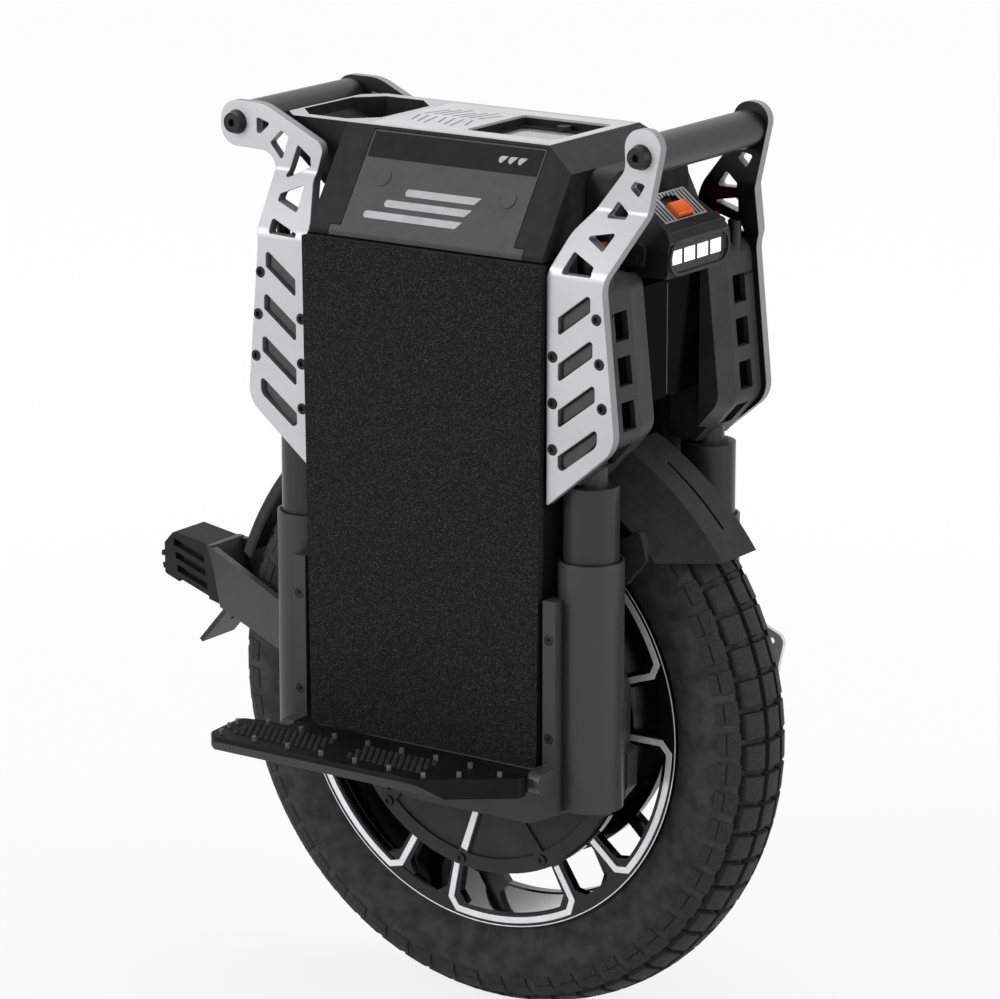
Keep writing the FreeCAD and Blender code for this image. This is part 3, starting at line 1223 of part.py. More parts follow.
def make_front_panel():
    half = BRACKET_Y0 - 3
    panel = prism_x([(-half, PANEL_Z0, 12), (half, PANEL_Z0, 12), (half, PANEL_Z1, 8),
                     (-half, PANEL_Z1, 8)], PANEL_X, PANEL_X + PANEL_T)
    seam = box(PANEL_X + PANEL_T - 1, PANEL_X + PANEL_T + 1, -0.6, 0.6, PANEL_Z0, PANEL_Z1)
    return panel.cut(seam)


def make_rear_panel():
    half = BRACKET_Y0 - 3
    panel = prism_x([(-half, PANEL_Z0, 12), (half, PANEL_Z0, 12), (half, PANEL_Z1, 8),
                     (-half, PANEL_Z1, 8)], -PANEL_X - PANEL_T, -PANEL_X)
    return panel


def make_tail_light():
    x = -PANEL_X - PANEL_T
    z1 = PANEL_Z1 - 10
    z0 = z1 - TAIL_LIGHT_H
    return prism_x([(-TAIL_LIGHT_HALF, z0, 6), (TAIL_LIGHT_HALF, z0, 6), (TAIL_LIGHT_HALF, z1, 6),
                    (-TAIL_LIGHT_HALF, z1, 6)], x - 5, x)


def make_port():
    """Charging socket on the rear panel: a flange with a ring of contacts inside."""
    x = -PANEL_X - PANEL_T
    z = (PANEL_Z0 + PANEL_Z1 - TAIL_LIGHT_H - 10) / 2
    flange = cyl_x(PORT_R, 0, z, x - 6, x)
    bore = cyl_x(PORT_R - 3, 0, z, x - 6, x - 2)
    pins = [cyl_x(1, 4 * math.cos(a), z + 4 * math.sin(a), x - 5, x - 1)
            for a in (math.radians(90), math.radians(210), math.radians(330))]
    return fused([flange.cut(bore)] + pins)


def make_nose():
    """Rounded nose on the case's front wall, with two cheeks that hold the lamp."""
    top = BODY_Z0 + NOSE_TOP
    low = PANEL_Z1 + 1
    body = prism_x([(-NOSE_HALF, low), (NOSE_HALF, low), (NOSE_HALF, top, 18), (-NOSE_HALF, top, 18)],
                   CASE_HALF_X, NOSE_X)
    inset = NOSE_HALF - CASE_WALL
    body = body.cut(prism_x([(-inset, low + CASE_WALL), (inset, low + CASE_WALL),
                             (inset, top - CASE_WALL, 12), (-inset, top - CASE_WALL, 12)],
                            CASE_HALF_X, NOSE_X - CASE_WALL))
    y0 = LAMP_HALF + LAMP_FIT
    root = NOSE_X - CASE_WALL
    clear = BRACKET_Z1 + 1
    cheek = prism_y([(root, clear), (LAMP_PIVOT_X + 8, clear, 4), (LAMP_PIVOT_X + 10, LAMP_PIVOT_Z + 10, 6),
                     (root, LAMP_PIVOT_Z + 20)], y0, y0 + CHEEK_T)
    pin = cyl_y(PIN_R, LAMP_PIVOT_X, LAMP_PIVOT_Z, y0 - 6, y0 + CHEEK_T + 1.5)
    return fused([body] + both_sides(fused([cheek, pin])))


def lamp_window(half, height, x0, x1):
    z = LAMP_PIVOT_Z
    r = height / 2
    return prism_x([(-half, z - r, r * 0.98), (half, z - r, r * 0.98), (half, z + r, r * 0.98),
                    (-half, z + r, r * 0.98)], x0, x1)


def lamp_slope_place(shape):
    """Put a shape drawn at the origin onto the lamp's sloping top, where its button sits."""
    x = LAMP_PIVOT_X + 9
    z = LAMP_Z1 - (x - LAMP_X[0] - 4) * math.tan(math.radians(LAMP_SLOPE_DEG))
    placed = shape.copy()
    placed.rotate(V(0, 0, 0), V(0, 1, 0), LAMP_SLOPE_DEG)
    placed.translate(V(x, 0, z))
    return placed


def make_lamp_body():
    """Lamp housing: sloping vented top, wide front with a window pocket."""
    x0, x1 = LAMP_X
    drop = math.tan(math.radians(LAMP_SLOPE_DEG))
    brow = LAMP_Z1 - (x1 - 12 - x0 - 4) * drop
    side = prism_y([(x0, LAMP_Z0 + 2, 3), (x0, LAMP_Z1 - 14, 2), (x0 + 4, LAMP_Z1, 2), (x1 - 12, brow, 2),
                    (x1 - 4, brow - 5, 3), (x1, brow - 12, 3), (x1, LAMP_Z0 + 9, 4), (x1 - 7, LAMP_Z0, 4)],
                   -LAMP_HALF, LAMP_HALF)
    front = prism_x([(-LAMP_HALF, LAMP_Z0 + 4, 6), (LAMP_HALF, LAMP_Z0 + 4, 6),
                     (LAMP_HALF, LAMP_PIVOT_Z + 8, 8), (LAMP_TOP_HALF, LAMP_Z1 + 1),
                     (-LAMP_TOP_HALF, LAMP_Z1 + 1), (-LAMP_HALF, LAMP_PIVOT_Z + 8, 8)], x0 - 1, x1 + 1)
    body = side.common(front)
    length, width, height = LAMP_BUTTON
    pocket = lamp_slope_place(box(-length / 2 - KEY_GAP, length / 2 + KEY_GAP, -width / 2 - KEY_GAP,
                                  width / 2 + KEY_GAP, -height - 2, 20))
    dish = lamp_slope_place(box(-length / 2 - LAMP_DISH, 0, -width / 2 - KEY_GAP, width / 2 + KEY_GAP,
                                -3, 20))
    cuts = [lamp_window(LAMP_WINDOW_HALF, LAMP_WINDOW_H, x1 - LAMP_WINDOW_DEPTH, x1 + 1), pocket, dish]
    cuts += both_sides(cyl_y(PIN_R + RUN_FIT, LAMP_PIVOT_X, LAMP_PIVOT_Z, LAMP_HALF - 7, LAMP_HALF + 1))
    return body.cut(cuts)


def make_lens():
    return lamp_window(LAMP_WINDOW_HALF - TOUCH, LAMP_WINDOW_H - 2 * TOUCH, LAMP_X[1] - LENS_T, LAMP_X[1])


def make_leds():
    """Light modules in a row on the floor of the lamp's window."""
    pitch = 2 * (LAMP_WINDOW_HALF - 3) / LED_COUNT
    back = LAMP_X[1] - LAMP_WINDOW_DEPTH
    z = LAMP_PIVOT_Z
    half = LED_SIZE / 2
    pieces = []
    for i in range(LED_COUNT):
        y = pitch * (i - (LED_COUNT - 1) / 2)
        pieces.append(box(back, back + 4, y - half, y + half, z - half, z + half))
    return pieces


def make_lamp_button():
    length, width, height = LAMP_BUTTON
    key = box(-length / 2, length / 2, -width / 2, width / 2, LAMP_BUTTON_PROUD - height, LAMP_BUTTON_PROUD)
    key = key.makeFillet(1.2, [e for e in key.Edges if e.BoundBox.ZMin > LAMP_BUTTON_PROUD - 0.1])
    return lamp_slope_place(key)


# Pedals

def stud_spots():
    """Grip studs along the outer edge, along the inner edge and at the two ends."""
    x0 = PEDAL_REAR_X - 14
    step = (x0 + PEDAL_NOSE_X) / (STUDS_ALONG - 1)
    outer = [(-x0 + step * i, PEDAL_Y1 - 9) for i in range(STUDS_ALONG)]
    inner = [(-x0 + 16 + step * i, PIN_Y + 20) for i in range(STUDS_ALONG)]
    ends = [(-PEDAL_REAR_X + 9, PEDAL_Y1 - 26), (-PEDAL_REAR_X + 8, PIN_Y + 32),
            (PEDAL_NOSE_X + 22, PEDAL_Y1 - 26), (PEDAL_FRONT_X - 16, PIN_Y + 26)]
    return outer + inner + ends


def make_pedal():
    """Left pedal: a plate with a bevelled edge and a barrel round the hinge pin."""
    step_y = PIN_Y + LUG_R + 3.5
    points = [(-BARREL_HALF, PIN_Y), (BARREL_HALF, PIN_Y), (BARREL_HALF, step_y),
              (PEDAL_FRONT_X, step_y, 3), (PEDAL_FRONT_X, PIN_Y + PEDAL_NOSE_OUT, 6),
              (PEDAL_NOSE_X, PEDAL_Y1, 30), (-PEDAL_REAR_X + 4, PEDAL_Y1, 14),
              (-PEDAL_REAR_X, PIN_Y + 18, 6), (-PEDAL_REAR_X + 22, step_y, 4), (-BARREL_HALF, step_y)]
    plate = prism_z(points, PEDAL_Z0, PEDAL_Z1)
    bevel = prism_x([(PEDAL_Y1 - 14, PEDAL_Z0 - 1), (PEDAL_Y1 + 1, PEDAL_Z0 - 1),
                     (PEDAL_Y1 + 1, PEDAL_Z1 - 4), (PEDAL_Y1, PEDAL_Z1 - 4)],
                    -PEDAL_REAR_X - 1, PEDAL_FRONT_X + 1)
    barrel = cyl_x(BARREL_R, PIN_Y, PIN_Z, -BARREL_HALF, BARREL_HALF)
    pedal = fused([plate.cut(bevel), barrel])
    cuts = [cyl_x(PIN_R + RUN_FIT, PIN_Y, PIN_Z, -BARREL_HALF, BARREL_HALF)]
    for x, y in stud_spots():
        cuts.append(cyl_z(STUD_R + TOUCH, x, y, PEDAL_Z1 - STUD_DEEP, PEDAL_Z1 + 1))
    return pedal.cut(cuts)


def make_studs():
    return [cyl_z(STUD_R, x, y, PEDAL_Z1 - STUD_DEEP, PEDAL_Z1 + STUD_PROUD) for x, y in stud_spots()]


# Write every node

def main():
    os.makedirs("parts", exist_ok=True)

    save("tyre", make_tyre())
    save("rim", make_rim())
    save("valve_stem", make_valve())
    save("rotor_ring", *make_rotor())
    save("motor_covers", *both_sides(make_cover()))
    save("cover_bolts", *make_cover_bolts())
    save("wheel_bearings", *both_sides(make_bearing()))

    save("axle", make_axle())
    save("motor_stator", make_stator())
    save("axle_bridges", *both_sides(make_bridge()))
    save("fork_sleeves", *all_corners(make_sleeve()))
    save("wiper_seals", *all_corners(make_wiper()))
    save("damper_rods", *all_corners(make_damper()))
    save("pedal_hangers", *(all_corners(make_hanger()) + both_sides(make_pedal_pin())))
    save("carrier_screws", *make_carrier_screws())
    save("front_mudguard", make_front_guard())
    save("rear_mudguard", make_rear_guard())
    save("tail_frame", make_tail_frame())
    save("tail_block", make_tail_block())
    save("eye_plate", make_eye_plate())

    save("frame_beams", *make_beams())
    for side, turn in (("left", lambda s: s), ("right", mirror_y)):
        save("side_case_" + side, turn(make_side_case()))
        save("side_pad_" + side, turn(make_pad()))
        save("hatch_" + side, turn(make_hatch()))
        save("pedal_" + side, turn(make_pedal()))
        save("pedal_studs_" + side, *[turn(stud) for stud in make_studs()])
    save("inner_covers", *both_sides(make_inner_cover()))
    save("battery_packs", *both_sides(make_battery()))
    save("top_case", make_top_case())
    save("deck_panel", make_deck_panel())
    save("display_screen", make_screen())
    save("power_button", make_power_button())
    save("controller_board", make_board())

    save("fork_brackets", *all_corners(make_bracket()))
    save("fork_tubes", *all_corners(make_fork_tube()))
    save("fork_caps", *(all_corners(make_fork_cap()) + all_corners(make_valve_post())))
    corners = ("front_left", "front_right", "rear_left", "rear_right")
    for corner, lever in zip(corners, all_corners(make_lever())):
        save("damping_lever_" + corner, lever)
    front = make_side_plate(front_plate_outline(), front_truss(), FRONT_BAR_X, FRONT_BAR_Z)
    rear = make_side_plate(rear_plate_outline(), rear_truss(), REAR_BAR_X, REAR_BAR_Z)
    save("front_plates", *both_sides(front))
    save("rear_plates", *both_sides(mirror_x(rear)))
    save("plate_screws", *make_plate_screws())
    save("front_bar", make_bar(FRONT_BAR_X, FRONT_BAR_Z))
    save("rear_bar", make_bar(-REAR_BAR_X, REAR_BAR_Z))
    save("bar_bolts", *(make_bar_bolts(FRONT_BAR_X, FRONT_BAR_Z) + make_bar_bolts(-REAR_BAR_X, REAR_BAR_Z)))

    save("front_panel", make_front_panel())
    save("rear_panel", make_rear_panel())
    save("tail_light", make_tail_light())
    save("charge_port", make_port())
    save("lamp_nose", make_nose())
    save("lamp_body", make_lamp_body())
    save("lamp_lens", make_lens())
    save("lamp_leds", *make_leds())
    save("lamp_button", make_lamp_button())


main()
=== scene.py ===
# %% [markdown]
# # Dressing an electric unicycle
# The imported model gives every solid piece its true size and place: wheel, fork legs, battery
# cases, side plates, lamp and pedals. This script adds what solids alone do not show: tread
# blocks, bright rim lines, knurling, vent ribs, and a finish with grain for each piece.
# Nothing in the imported model is moved. Each new piece rides on the body that carries it.

# %% Load the imported model
import json
import math

import bmesh
import bpy
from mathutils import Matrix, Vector


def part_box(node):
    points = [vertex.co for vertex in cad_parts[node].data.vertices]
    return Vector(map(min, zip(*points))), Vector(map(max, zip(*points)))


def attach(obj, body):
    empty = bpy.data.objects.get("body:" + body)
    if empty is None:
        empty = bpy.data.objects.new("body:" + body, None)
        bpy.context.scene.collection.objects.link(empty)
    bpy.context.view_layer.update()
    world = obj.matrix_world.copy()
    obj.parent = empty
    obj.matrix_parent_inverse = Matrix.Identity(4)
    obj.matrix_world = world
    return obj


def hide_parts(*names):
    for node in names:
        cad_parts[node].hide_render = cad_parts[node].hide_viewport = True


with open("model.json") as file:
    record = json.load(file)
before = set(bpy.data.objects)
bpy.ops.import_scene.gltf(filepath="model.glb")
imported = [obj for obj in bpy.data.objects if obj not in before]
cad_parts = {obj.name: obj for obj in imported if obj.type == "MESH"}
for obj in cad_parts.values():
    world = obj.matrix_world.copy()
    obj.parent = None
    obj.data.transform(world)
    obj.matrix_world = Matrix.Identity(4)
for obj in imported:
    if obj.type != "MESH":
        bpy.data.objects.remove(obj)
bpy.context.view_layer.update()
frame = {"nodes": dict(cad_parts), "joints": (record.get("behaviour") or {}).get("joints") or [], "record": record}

scene = bpy.context.scene

# %% [markdown]
# Drawings of a wheeled machine are easiest to read from the axle. The helper below takes
# millimetres ahead of the axle, to the left and above the ground, and gives metres in the
# model's own frame. The axle's place comes from the wheel joint, so it always agrees.

# %% Measure from the axle
axle = next(j for j in frame["joints"] if j["name"] == "wheel_spin")["pos_m"]
AXLE_Z = axle[2] * 1000


def spot(x, y, z):
    """Point in metres from millimetres measured at the axle and the ground."""
    return Vector((axle[0] + x / 1000, y / 1000, z / 1000))


print("axle at", [round(c, 4) for c in axle])

# %% [markdown]
# ## Camera
# The picture was taken from the front right, looking down a little, with a long lens. A long
# lens keeps upright edges nearly parallel. Position and direction are fixed numbers, so every
# run frames the unicycle the same way.

# %% Set the camera
lens = bpy.data.cameras.new("camera")
lens.lens = 159.87
lens.sensor_width = 36.0
lens.shift_x = -0.0045
lens.shift_y = -0.0034
camera = bpy.data.objects.new("camera", lens)
camera.location = spot(1962.4, -2869.1, 1327.7)
sight = Vector((-0.54717, 0.79847, -0.25112))
camera.rotation_mode = "QUATERNION"
camera.rotation_quaternion = sight.to_track_quat("-Z", "Y")
scene.collection.objects.link(camera)
scene.camera = camera
print("camera at", [round(c, 3) for c in camera.location])

# %% [markdown]
# ## Floor, sky and lamps
# A product shot stands on a pale seamless floor under large soft lamps. Floor and sky should look
# almost white without throwing that much light at the unicycle, so both have to know which rays
# look at them: those of the camera, and those that come by way of a mirror or of glass.


# %% Sort the rays
def looked_at(nodes, links):
    """Socket that is 1 for camera, mirror and glass rays, and 0 for the rest."""
    path = nodes.new("ShaderNodeLightPath")
    eye_or_mirror = nodes.new("ShaderNodeMath")
    eye_or_mirror.operation = "MAXIMUM"
    links.new(path.outputs["Is Camera Ray"], eye_or_mirror.inputs[0])
    links.new(path.outputs["Is Glossy Ray"], eye_or_mirror.inputs[1])
    any_ray = nodes.new("ShaderNodeMath")
    any_ray.operation = "MAXIMUM"
    links.new(eye_or_mirror.outputs[0], any_ray.inputs[0])
    links.new(path.outputs["Is Transmission Ray"], any_ray.inputs[1])
    return any_ray.outputs[0]


print("ray test ready")

# %% [markdown]
# The floor mixes a plain diffuse surface, which takes the shadow, with a glow for rays that look
# straight at it. The glow grows with distance, so that the far floor is white and the shadow by
# the tyre stays.

# %% Make the floor
FLOOR_REACH = 40.0
GLOW_NEAR, GLOW_FAR = 0.82, 0.97
FADE_START, FADE_END = 0.4, 1.8


def glow_share(nodes, links):
    """Socket that says how much of the floor glows: more with distance, and only when seen."""
    place = nodes.new("ShaderNodeTexCoord")
    away = nodes.new("ShaderNodeVectorMath")
    away.operation = "LENGTH"
    links.new(place.outputs["Object"], away.inputs[0])
    fade = nodes.new("ShaderNodeMapRange")
    fade.inputs["From Min"].default_value = FADE_START
    fade.inputs["From Max"].default_value = FADE_END
    fade.inputs["To Min"].default_value = GLOW_NEAR
    fade.inputs["To Max"].default_value = GLOW_FAR
    links.new(away.outputs["Value"], fade.inputs["Value"])
    share = nodes.new("ShaderNodeMath")
    share.operation = "MULTIPLY"
    links.new(fade.outputs["Result"], share.inputs[1])
    links.new(looked_at(nodes, links), share.inputs[0])
    return share.outputs[0]


def floor_paint():
    mat = bpy.data.materials.new("pale_floor")
    mat.use_nodes = True
    nodes, links = mat.node_tree.nodes, mat.node_tree.links
    matte = nodes["Principled BSDF"]
    matte.inputs["Base Color"].default_value = (0.92, 0.92, 0.92, 1)
    matte.inputs["Roughness"].default_value = 0.9
    matte.inputs["Specular IOR Level"].default_value = 0.1
    glow = nodes.new("ShaderNodeEmission")
    glow.inputs["Strength"].default_value = 1.0
    mix = nodes.new("ShaderNodeMixShader")
    links.new(glow_share(nodes, links), mix.inputs["Fac"])
    links.new(matte.outputs[0], mix.inputs[1])
    links.new(glow.outputs[0], mix.inputs[2])
    links.new(mix.outputs[0], nodes["Material Output"].inputs["Surface"])
    return mat


def corners(a0, a1, b0, b1):
    """Four corners of a rectangle, in order."""
    return [(a0, b0), (a1, b0), (a1, b1), (a0, b1)]


def make_floor():
    around = corners(-FLOOR_REACH, FLOOR_REACH, -FLOOR_REACH, FLOOR_REACH)
    mesh = bpy.data.meshes.new("floor")
    mesh.from_pydata([(x, y, 0) for x, y in around], [], [(0, 1, 2, 3)])
    mesh.materials.append(floor_paint())
    floor = bpy.data.objects.new("floor", mesh)
    scene.collection.objects.link(floor)


make_floor()
print("floor ready")

# %% [markdown]
# The sky works as the floor does: one level lights the unicycle, and another is what the eye
# and the reflections see. The Standard view shows each tone as it is written.

# %% Make the sky
ROOM_LIGHT = 0.26


def make_sky():
    world = bpy.data.worlds.new("studio")
    world.use_nodes = True
    nodes, links = world.node_tree.nodes, world.node_tree.links
    room = nodes["Background"]
    seen = nodes.new("ShaderNodeBackground")
    for level, strength in ((room, ROOM_LIGHT), (seen, 1.0)):
        level.inputs["Color"].default_value = (1, 1, 1, 1)
        level.inputs["Strength"].default_value = strength
    mix = nodes.new("ShaderNodeMixShader")
    links.new(looked_at(nodes, links), mix.inputs["Fac"])
    links.new(room.outputs[0], mix.inputs[1])
    links.new(seen.outputs[0], mix.inputs[2])
    links.new(mix.outputs[0], nodes["World Output"].inputs["Surface"])
    scene.world = world


make_sky()
scene.view_settings.view_transform = "Standard"
print("sky ready")

# %% [markdown]
# Three soft boxes are enough: a large key from the camera's left, a fill from its right that
# draws the bright edges of the fork legs, and a top light behind for the deck and the bars.


# %% Hang the lamps
def soft_box(name, place, aim, size, power):
    light = bpy.data.lights.new(name, "AREA")
    light.shape = "RECTANGLE"
    light.size, light.size_y = size
    light.energy = power
    lamp = bpy.data.objects.new(name, light)
    lamp.location = place
    lamp.rotation_mode = "QUATERNION"
    lamp.rotation_quaternion = (Vector(aim) - Vector(place)).to_track_quat("-Z", "Y")
    scene.collection.objects.link(lamp)


middle = (0.0, 0.0, 0.4)
soft_box("key_box", (-1.9, -3.2, 2.2), middle, (1.6, 2.4), 84)
soft_box("fill_box", (3.2, 0.5, 1.5), middle, (1.0, 2.4), 46)
soft_box("top_box", (-0.3, 0.9, 3.2), middle, (2.4, 1.6), 46)

# %% [markdown]
# ## Finishes
# No real surface is one flat colour. Each finish here has a slow cloud of two close tones, a
# fine grain that changes roughness and lifts a small bump, and a softened edge so that sharp
# CAD edges catch a thin line of light. Pictures could be wrapped round each piece instead, but
# noise needs no unwrapping and is as fine as one likes. Four small tools come first.

# %% Make the tools for tone and grain
COOL = (1.0, 1.0, 1.02)


def tone(level):
    """Linear, slightly cool grey from a screen level of 0 to 255."""
    c = level / 255
    value = c / 12.92 if c <= 0.04045 else ((c + 0.055) / 1.055) ** 2.4
    return (value * COOL[0], value * COOL[1], value * COOL[2], 1)


def cloud(nodes, links, vector, scale, detail=3.0):
    """Noise over a piece, as a socket."""
    tex = nodes.new("ShaderNodeTexNoise")
    tex.inputs["Scale"].default_value = scale
    tex.inputs["Detail"].default_value = detail
    links.new(vector, tex.inputs["Vector"])
    return tex.outputs["Fac"]


def two_tone(nodes, links, factor, dark, light, low=0.35, high=0.65):
    """Colour that goes from dark to light as the factor goes from low to high."""
    ramp = nodes.new("ShaderNodeValToRGB")
    ramp.color_ramp.elements[0].position = low
    ramp.color_ramp.elements[0].color = dark
    ramp.color_ramp.elements[1].position = high
    ramp.color_ramp.elements[1].color = light
    links.new(factor, ramp.inputs["Fac"])
    return ramp.outputs["Color"]


def span(nodes, links, factor, low, high):
    """Number that goes from low to high as the factor goes from 0 to 1."""
    reach = nodes.new("ShaderNodeMapRange")
    reach.inputs["To Min"].default_value = low
    reach.inputs["To Max"].default_value = high
    links.new(factor, reach.inputs["Value"])
    return reach.outputs["Result"]


print("a middle grey is", [round(c, 3) for c in tone(128)])

# %% [markdown]
# One function joins these tools to a shader. Its numbers are set per finish: moulded plastic is
# grainy, paint is smooth, and machined metal has streaks, which is noise stretched one way.

# %% Start a finish
COAT_ROUGH = 0.05
BUMP_DEPTH = 0.0006


def finish(name, dark, light, rough, metal=0.0, gloss=0.12, mottle=30.0, grain=700.0, lift=0.15,
           stretch=(1, 1, 1), coat=0.0, edge=0.0007):
    """Material with cloudy tone, grained roughness, bump and softened edges."""
    mat = bpy.data.materials.new(name)
    mat.use_nodes = True
    nodes, links = mat.node_tree.nodes, mat.node_tree.links
    skin = nodes["Principled BSDF"]
    skin.inputs["Metallic"].default_value = metal
    skin.inputs["Specular IOR Level"].default_value = gloss
    skin.inputs["Coat Weight"].default_value = coat
    skin.inputs["Coat Roughness"].default_value = COAT_ROUGH
    place = nodes.new("ShaderNodeTexCoord")
    scaled = nodes.new("ShaderNodeMapping")
    scaled.inputs["Scale"].default_value = stretch
    links.new(place.outputs["Object"], scaled.inputs["Vector"])
    where = scaled.outputs["Vector"]
    slow = cloud(nodes, links, where, mottle)
    fine = cloud(nodes, links, where, grain, 2.0)
    links.new(two_tone(nodes, links, slow, dark, light), skin.inputs["Base Color"])
    links.new(span(nodes, links, fine, rough[0], rough[1]), skin.inputs["Roughness"])
    soft = nodes.new("ShaderNodeBevel")
    soft.samples = 4
    soft.inputs["Radius"].default_value = edge
    bump = nodes.new("ShaderNodeBump")
    bump.inputs["Strength"].default_value = lift
    bump.inputs["Distance"].default_value = BUMP_DEPTH
    links.new(fine, bump.inputs["Height"])
    links.new(soft.outputs["Normal"], bump.inputs["Normal"])
    links.new(bump.outputs["Normal"], skin.inputs["Normal"])
    return mat


finishes = {}
print("finish helper ready")

# %% [markdown]
# Some pieces get a second colour through a mask, and here most of these masks paint light or
# shade: highlights on upward faces, shade on faces that turn from the light. A mask could be
# painted by hand, but a test of height or of the surface's direction is exact, and it stays with
# the piece when it moves, as both are read in the piece's own space.


# %% Make the masks
def own_place(nodes):
    """The texture coordinates that a finish already has."""
    return next(n for n in nodes if n.type == "TEX_COORD").outputs


def own_colour(nodes):
    """The cloudy colour that a finish already has."""
    return next(n for n in nodes if n.type == "VALTORGB").outputs["Color"]


def parts_of(nodes, links, socket):
    """X, Y and Z sockets of the point or the normal in the piece's own space."""
    split = nodes.new("ShaderNodeSeparateXYZ")
    links.new(own_place(nodes)[socket], split.inputs[0])
    return split.outputs


def test(nodes, links, value, compare, limit):
    """Socket that is 1 where a value passes a limit."""
    check = nodes.new("ShaderNodeMath")
    check.operation = compare
    check.inputs[1].default_value = limit
    links.new(value, check.inputs[0])
    return check.outputs[0]


def product(nodes, links, one, other):
    """Product of two sockets. Of two tests, it is 1 where both are."""
    meet = nodes.new("ShaderNodeMath")
    meet.operation = "MULTIPLY"
    links.new(one, meet.inputs[0])
    links.new(other, meet.inputs[1])
    return meet.outputs[0]


print("masks ready")

# %% [markdown]
# The spray itself is a mix node between the finish's own colour and its shader. Where the mask
# is 1, the second colour shows. Two finishes further down add or multiply a colour instead.


# %% Spray through a mask
def colour_mix(nodes, links, kind):
    """Mix node between a finish's own colour and its shader. The second colour is still to set."""
    mix = nodes.new("ShaderNodeMix")
    mix.data_type = "RGBA"
    mix.blend_type = kind
    mix.inputs["Factor"].default_value = 1.0
    links.new(own_colour(nodes), mix.inputs["A"])
    links.new(mix.outputs["Result"], nodes["Principled BSDF"].inputs["Base Color"])
    return mix


def spray(nodes, links, mask, colour):
    """Put a second colour on a finish where the mask is 1, and give the mixed colour."""
    mix = colour_mix(nodes, links, "MIX")
    mix.inputs["B"].default_value = colour
    links.new(mask, mix.inputs["Factor"])
    return mix.outputs["Result"]


def highlight_from_above(mat, compare, height, slant, colour):
    """Paint a highlight in a second colour on the upward faces that lie above or below a height."""
    nodes, links = mat.node_tree.nodes, mat.node_tree.links
    level = test(nodes, links, parts_of(nodes, links, "Object")["Z"], compare, height)
    upward = test(nodes, links, parts_of(nodes, links, "Normal")["Z"], "GREATER_THAN", slant)
    spray(nodes, links, product(nodes, links, level, upward), colour)


print("spray ready")

# %% [markdown]
# Plastics and paints come first. The case, the lamp and the mudguards are moulded with a fine
# grain. The case's upward faces at deck height get a painted highlight in light grey. Brackets,
# bars and pedals are powder coated: a little smoother, with a soft sheen. The end panels and the
# rim are lacquered almost black, and the rim gets a clear coat on top.


# %% Mix plastics and paints
def case_plastic():
    """Dark plastic, with a painted highlight in light grey on the upward faces at deck height."""
    mat = finish("case_plastic", tone(32), tone(40), (0.42, 0.58), mottle=90.0, grain=1500.0)
    highlight_from_above(mat, "GREATER_THAN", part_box("top_case")[1].z - 0.001, slant=0.9,
                     colour=tone(188))
    return mat


finishes["case"] = case_plastic()
finishes["lamp"] = finish("lamp_plastic", tone(24), tone(32), (0.36, 0.55), mottle=90.0,
                          grain=1500.0)
finishes["guard"] = finish("guard_plastic", tone(42), tone(50), (0.45, 0.62), mottle=90.0,
                           grain=1600.0, lift=0.2)
finishes["hatch"] = finish("hatch_plastic", tone(80), tone(86), (0.36, 0.48), mottle=60.0,
                           grain=1800.0, lift=0.06)
finishes["tail_grey"] = finish("tail_block_plastic", tone(36), tone(46), (0.5, 0.7), lift=0.25)
finishes["bracket"] = finish("bracket_coat", tone(50), tone(58), (0.36, 0.5))
finishes["frame"] = finish("frame_coat", tone(16), tone(24), (0.5, 0.65))
finishes["bar"] = finish("bar_coat", tone(10), tone(16), (0.3, 0.4), gloss=0.5, grain=1600.0)
finishes["pedal"] = finish("pedal_coat", tone(12), tone(20), (0.36, 0.56), lift=0.25, edge=0.0025)
finishes["motor"] = finish("motor_cover_coat", tone(55), tone(63), (0.4, 0.52), grain=1500.0,
                           lift=0.06)
finishes["rim"] = finish("rim_lacquer", tone(8), tone(12), (0.08, 0.14), gloss=0.2, lift=0.02,
                         coat=0.35)
finishes["gloss_panel"] = finish("panel_lacquer", tone(2), tone(5), (0.12, 0.2), gloss=0.015,
                                 lift=0.02)
print("plastics and paints", len(finishes))

# %% [markdown]
# Metals: the fork legs are dark anodised tube with a satin sheen and streaks along their
# length. Screws are blackened steel, the axle and the bearings bright steel. Rubber has low
# gloss and a strong grain. The tyre is dusty in places, so its two tones lie further apart.

# %% Mix metals and rubber
finishes["carrier_metal"] = finish("sleeve_anodised", tone(62), tone(70), (0.34, 0.44), metal=0.25,
                                   gloss=0.15, mottle=14.0, grain=500.0, stretch=(1, 1, 0.08),
                                   lift=0.04)
finishes["fork_tube"] = finish("tube_anodised", tone(54), tone(62), (0.28, 0.36), metal=0.35,
                               gloss=0.15, mottle=14.0, grain=500.0, stretch=(1, 1, 0.08),
                               lift=0.03)
finishes["steel"] = finish("turned_steel", tone(170), tone(190), (0.22, 0.36), metal=1.0,
                           stretch=(1, 0.1, 1))
finishes["black_steel"] = finish("blackened_steel", tone(30), tone(44), (0.32, 0.5), metal=0.6,
                                 gloss=0.5)
finishes["motor_core"] = finish("core_steel", tone(95), tone(120), (0.4, 0.6), metal=1.0,
                                stretch=(0.2, 6, 0.2))
# The eye plate is light grey, and its tone is raised further as painted light to make up for the tyre's shadow on
# it.
finishes["eye_grey"] = finish("eye_plate_metal", tone(212), tone(226), (0.34, 0.46), metal=0.1,
                              gloss=0.4, lift=0.05)
finishes["red_lever"] = finish("red_anodised", (0.5, 0.008, 0.02, 1), (0.62, 0.014, 0.03, 1),
                               (0.24, 0.36), metal=0.3, gloss=0.5, lift=0.05)
finishes["seal"] = finish("seal_rubber", tone(14), tone(20), (0.6, 0.8), gloss=0.08, lift=0.2)
finishes["tyre"] = finish("tyre_rubber", tone(50), tone(68), (0.6, 0.8), gloss=0.08, mottle=70.0,
                          grain=1900.0, lift=0.5)
print("with metals and rubber", len(finishes))
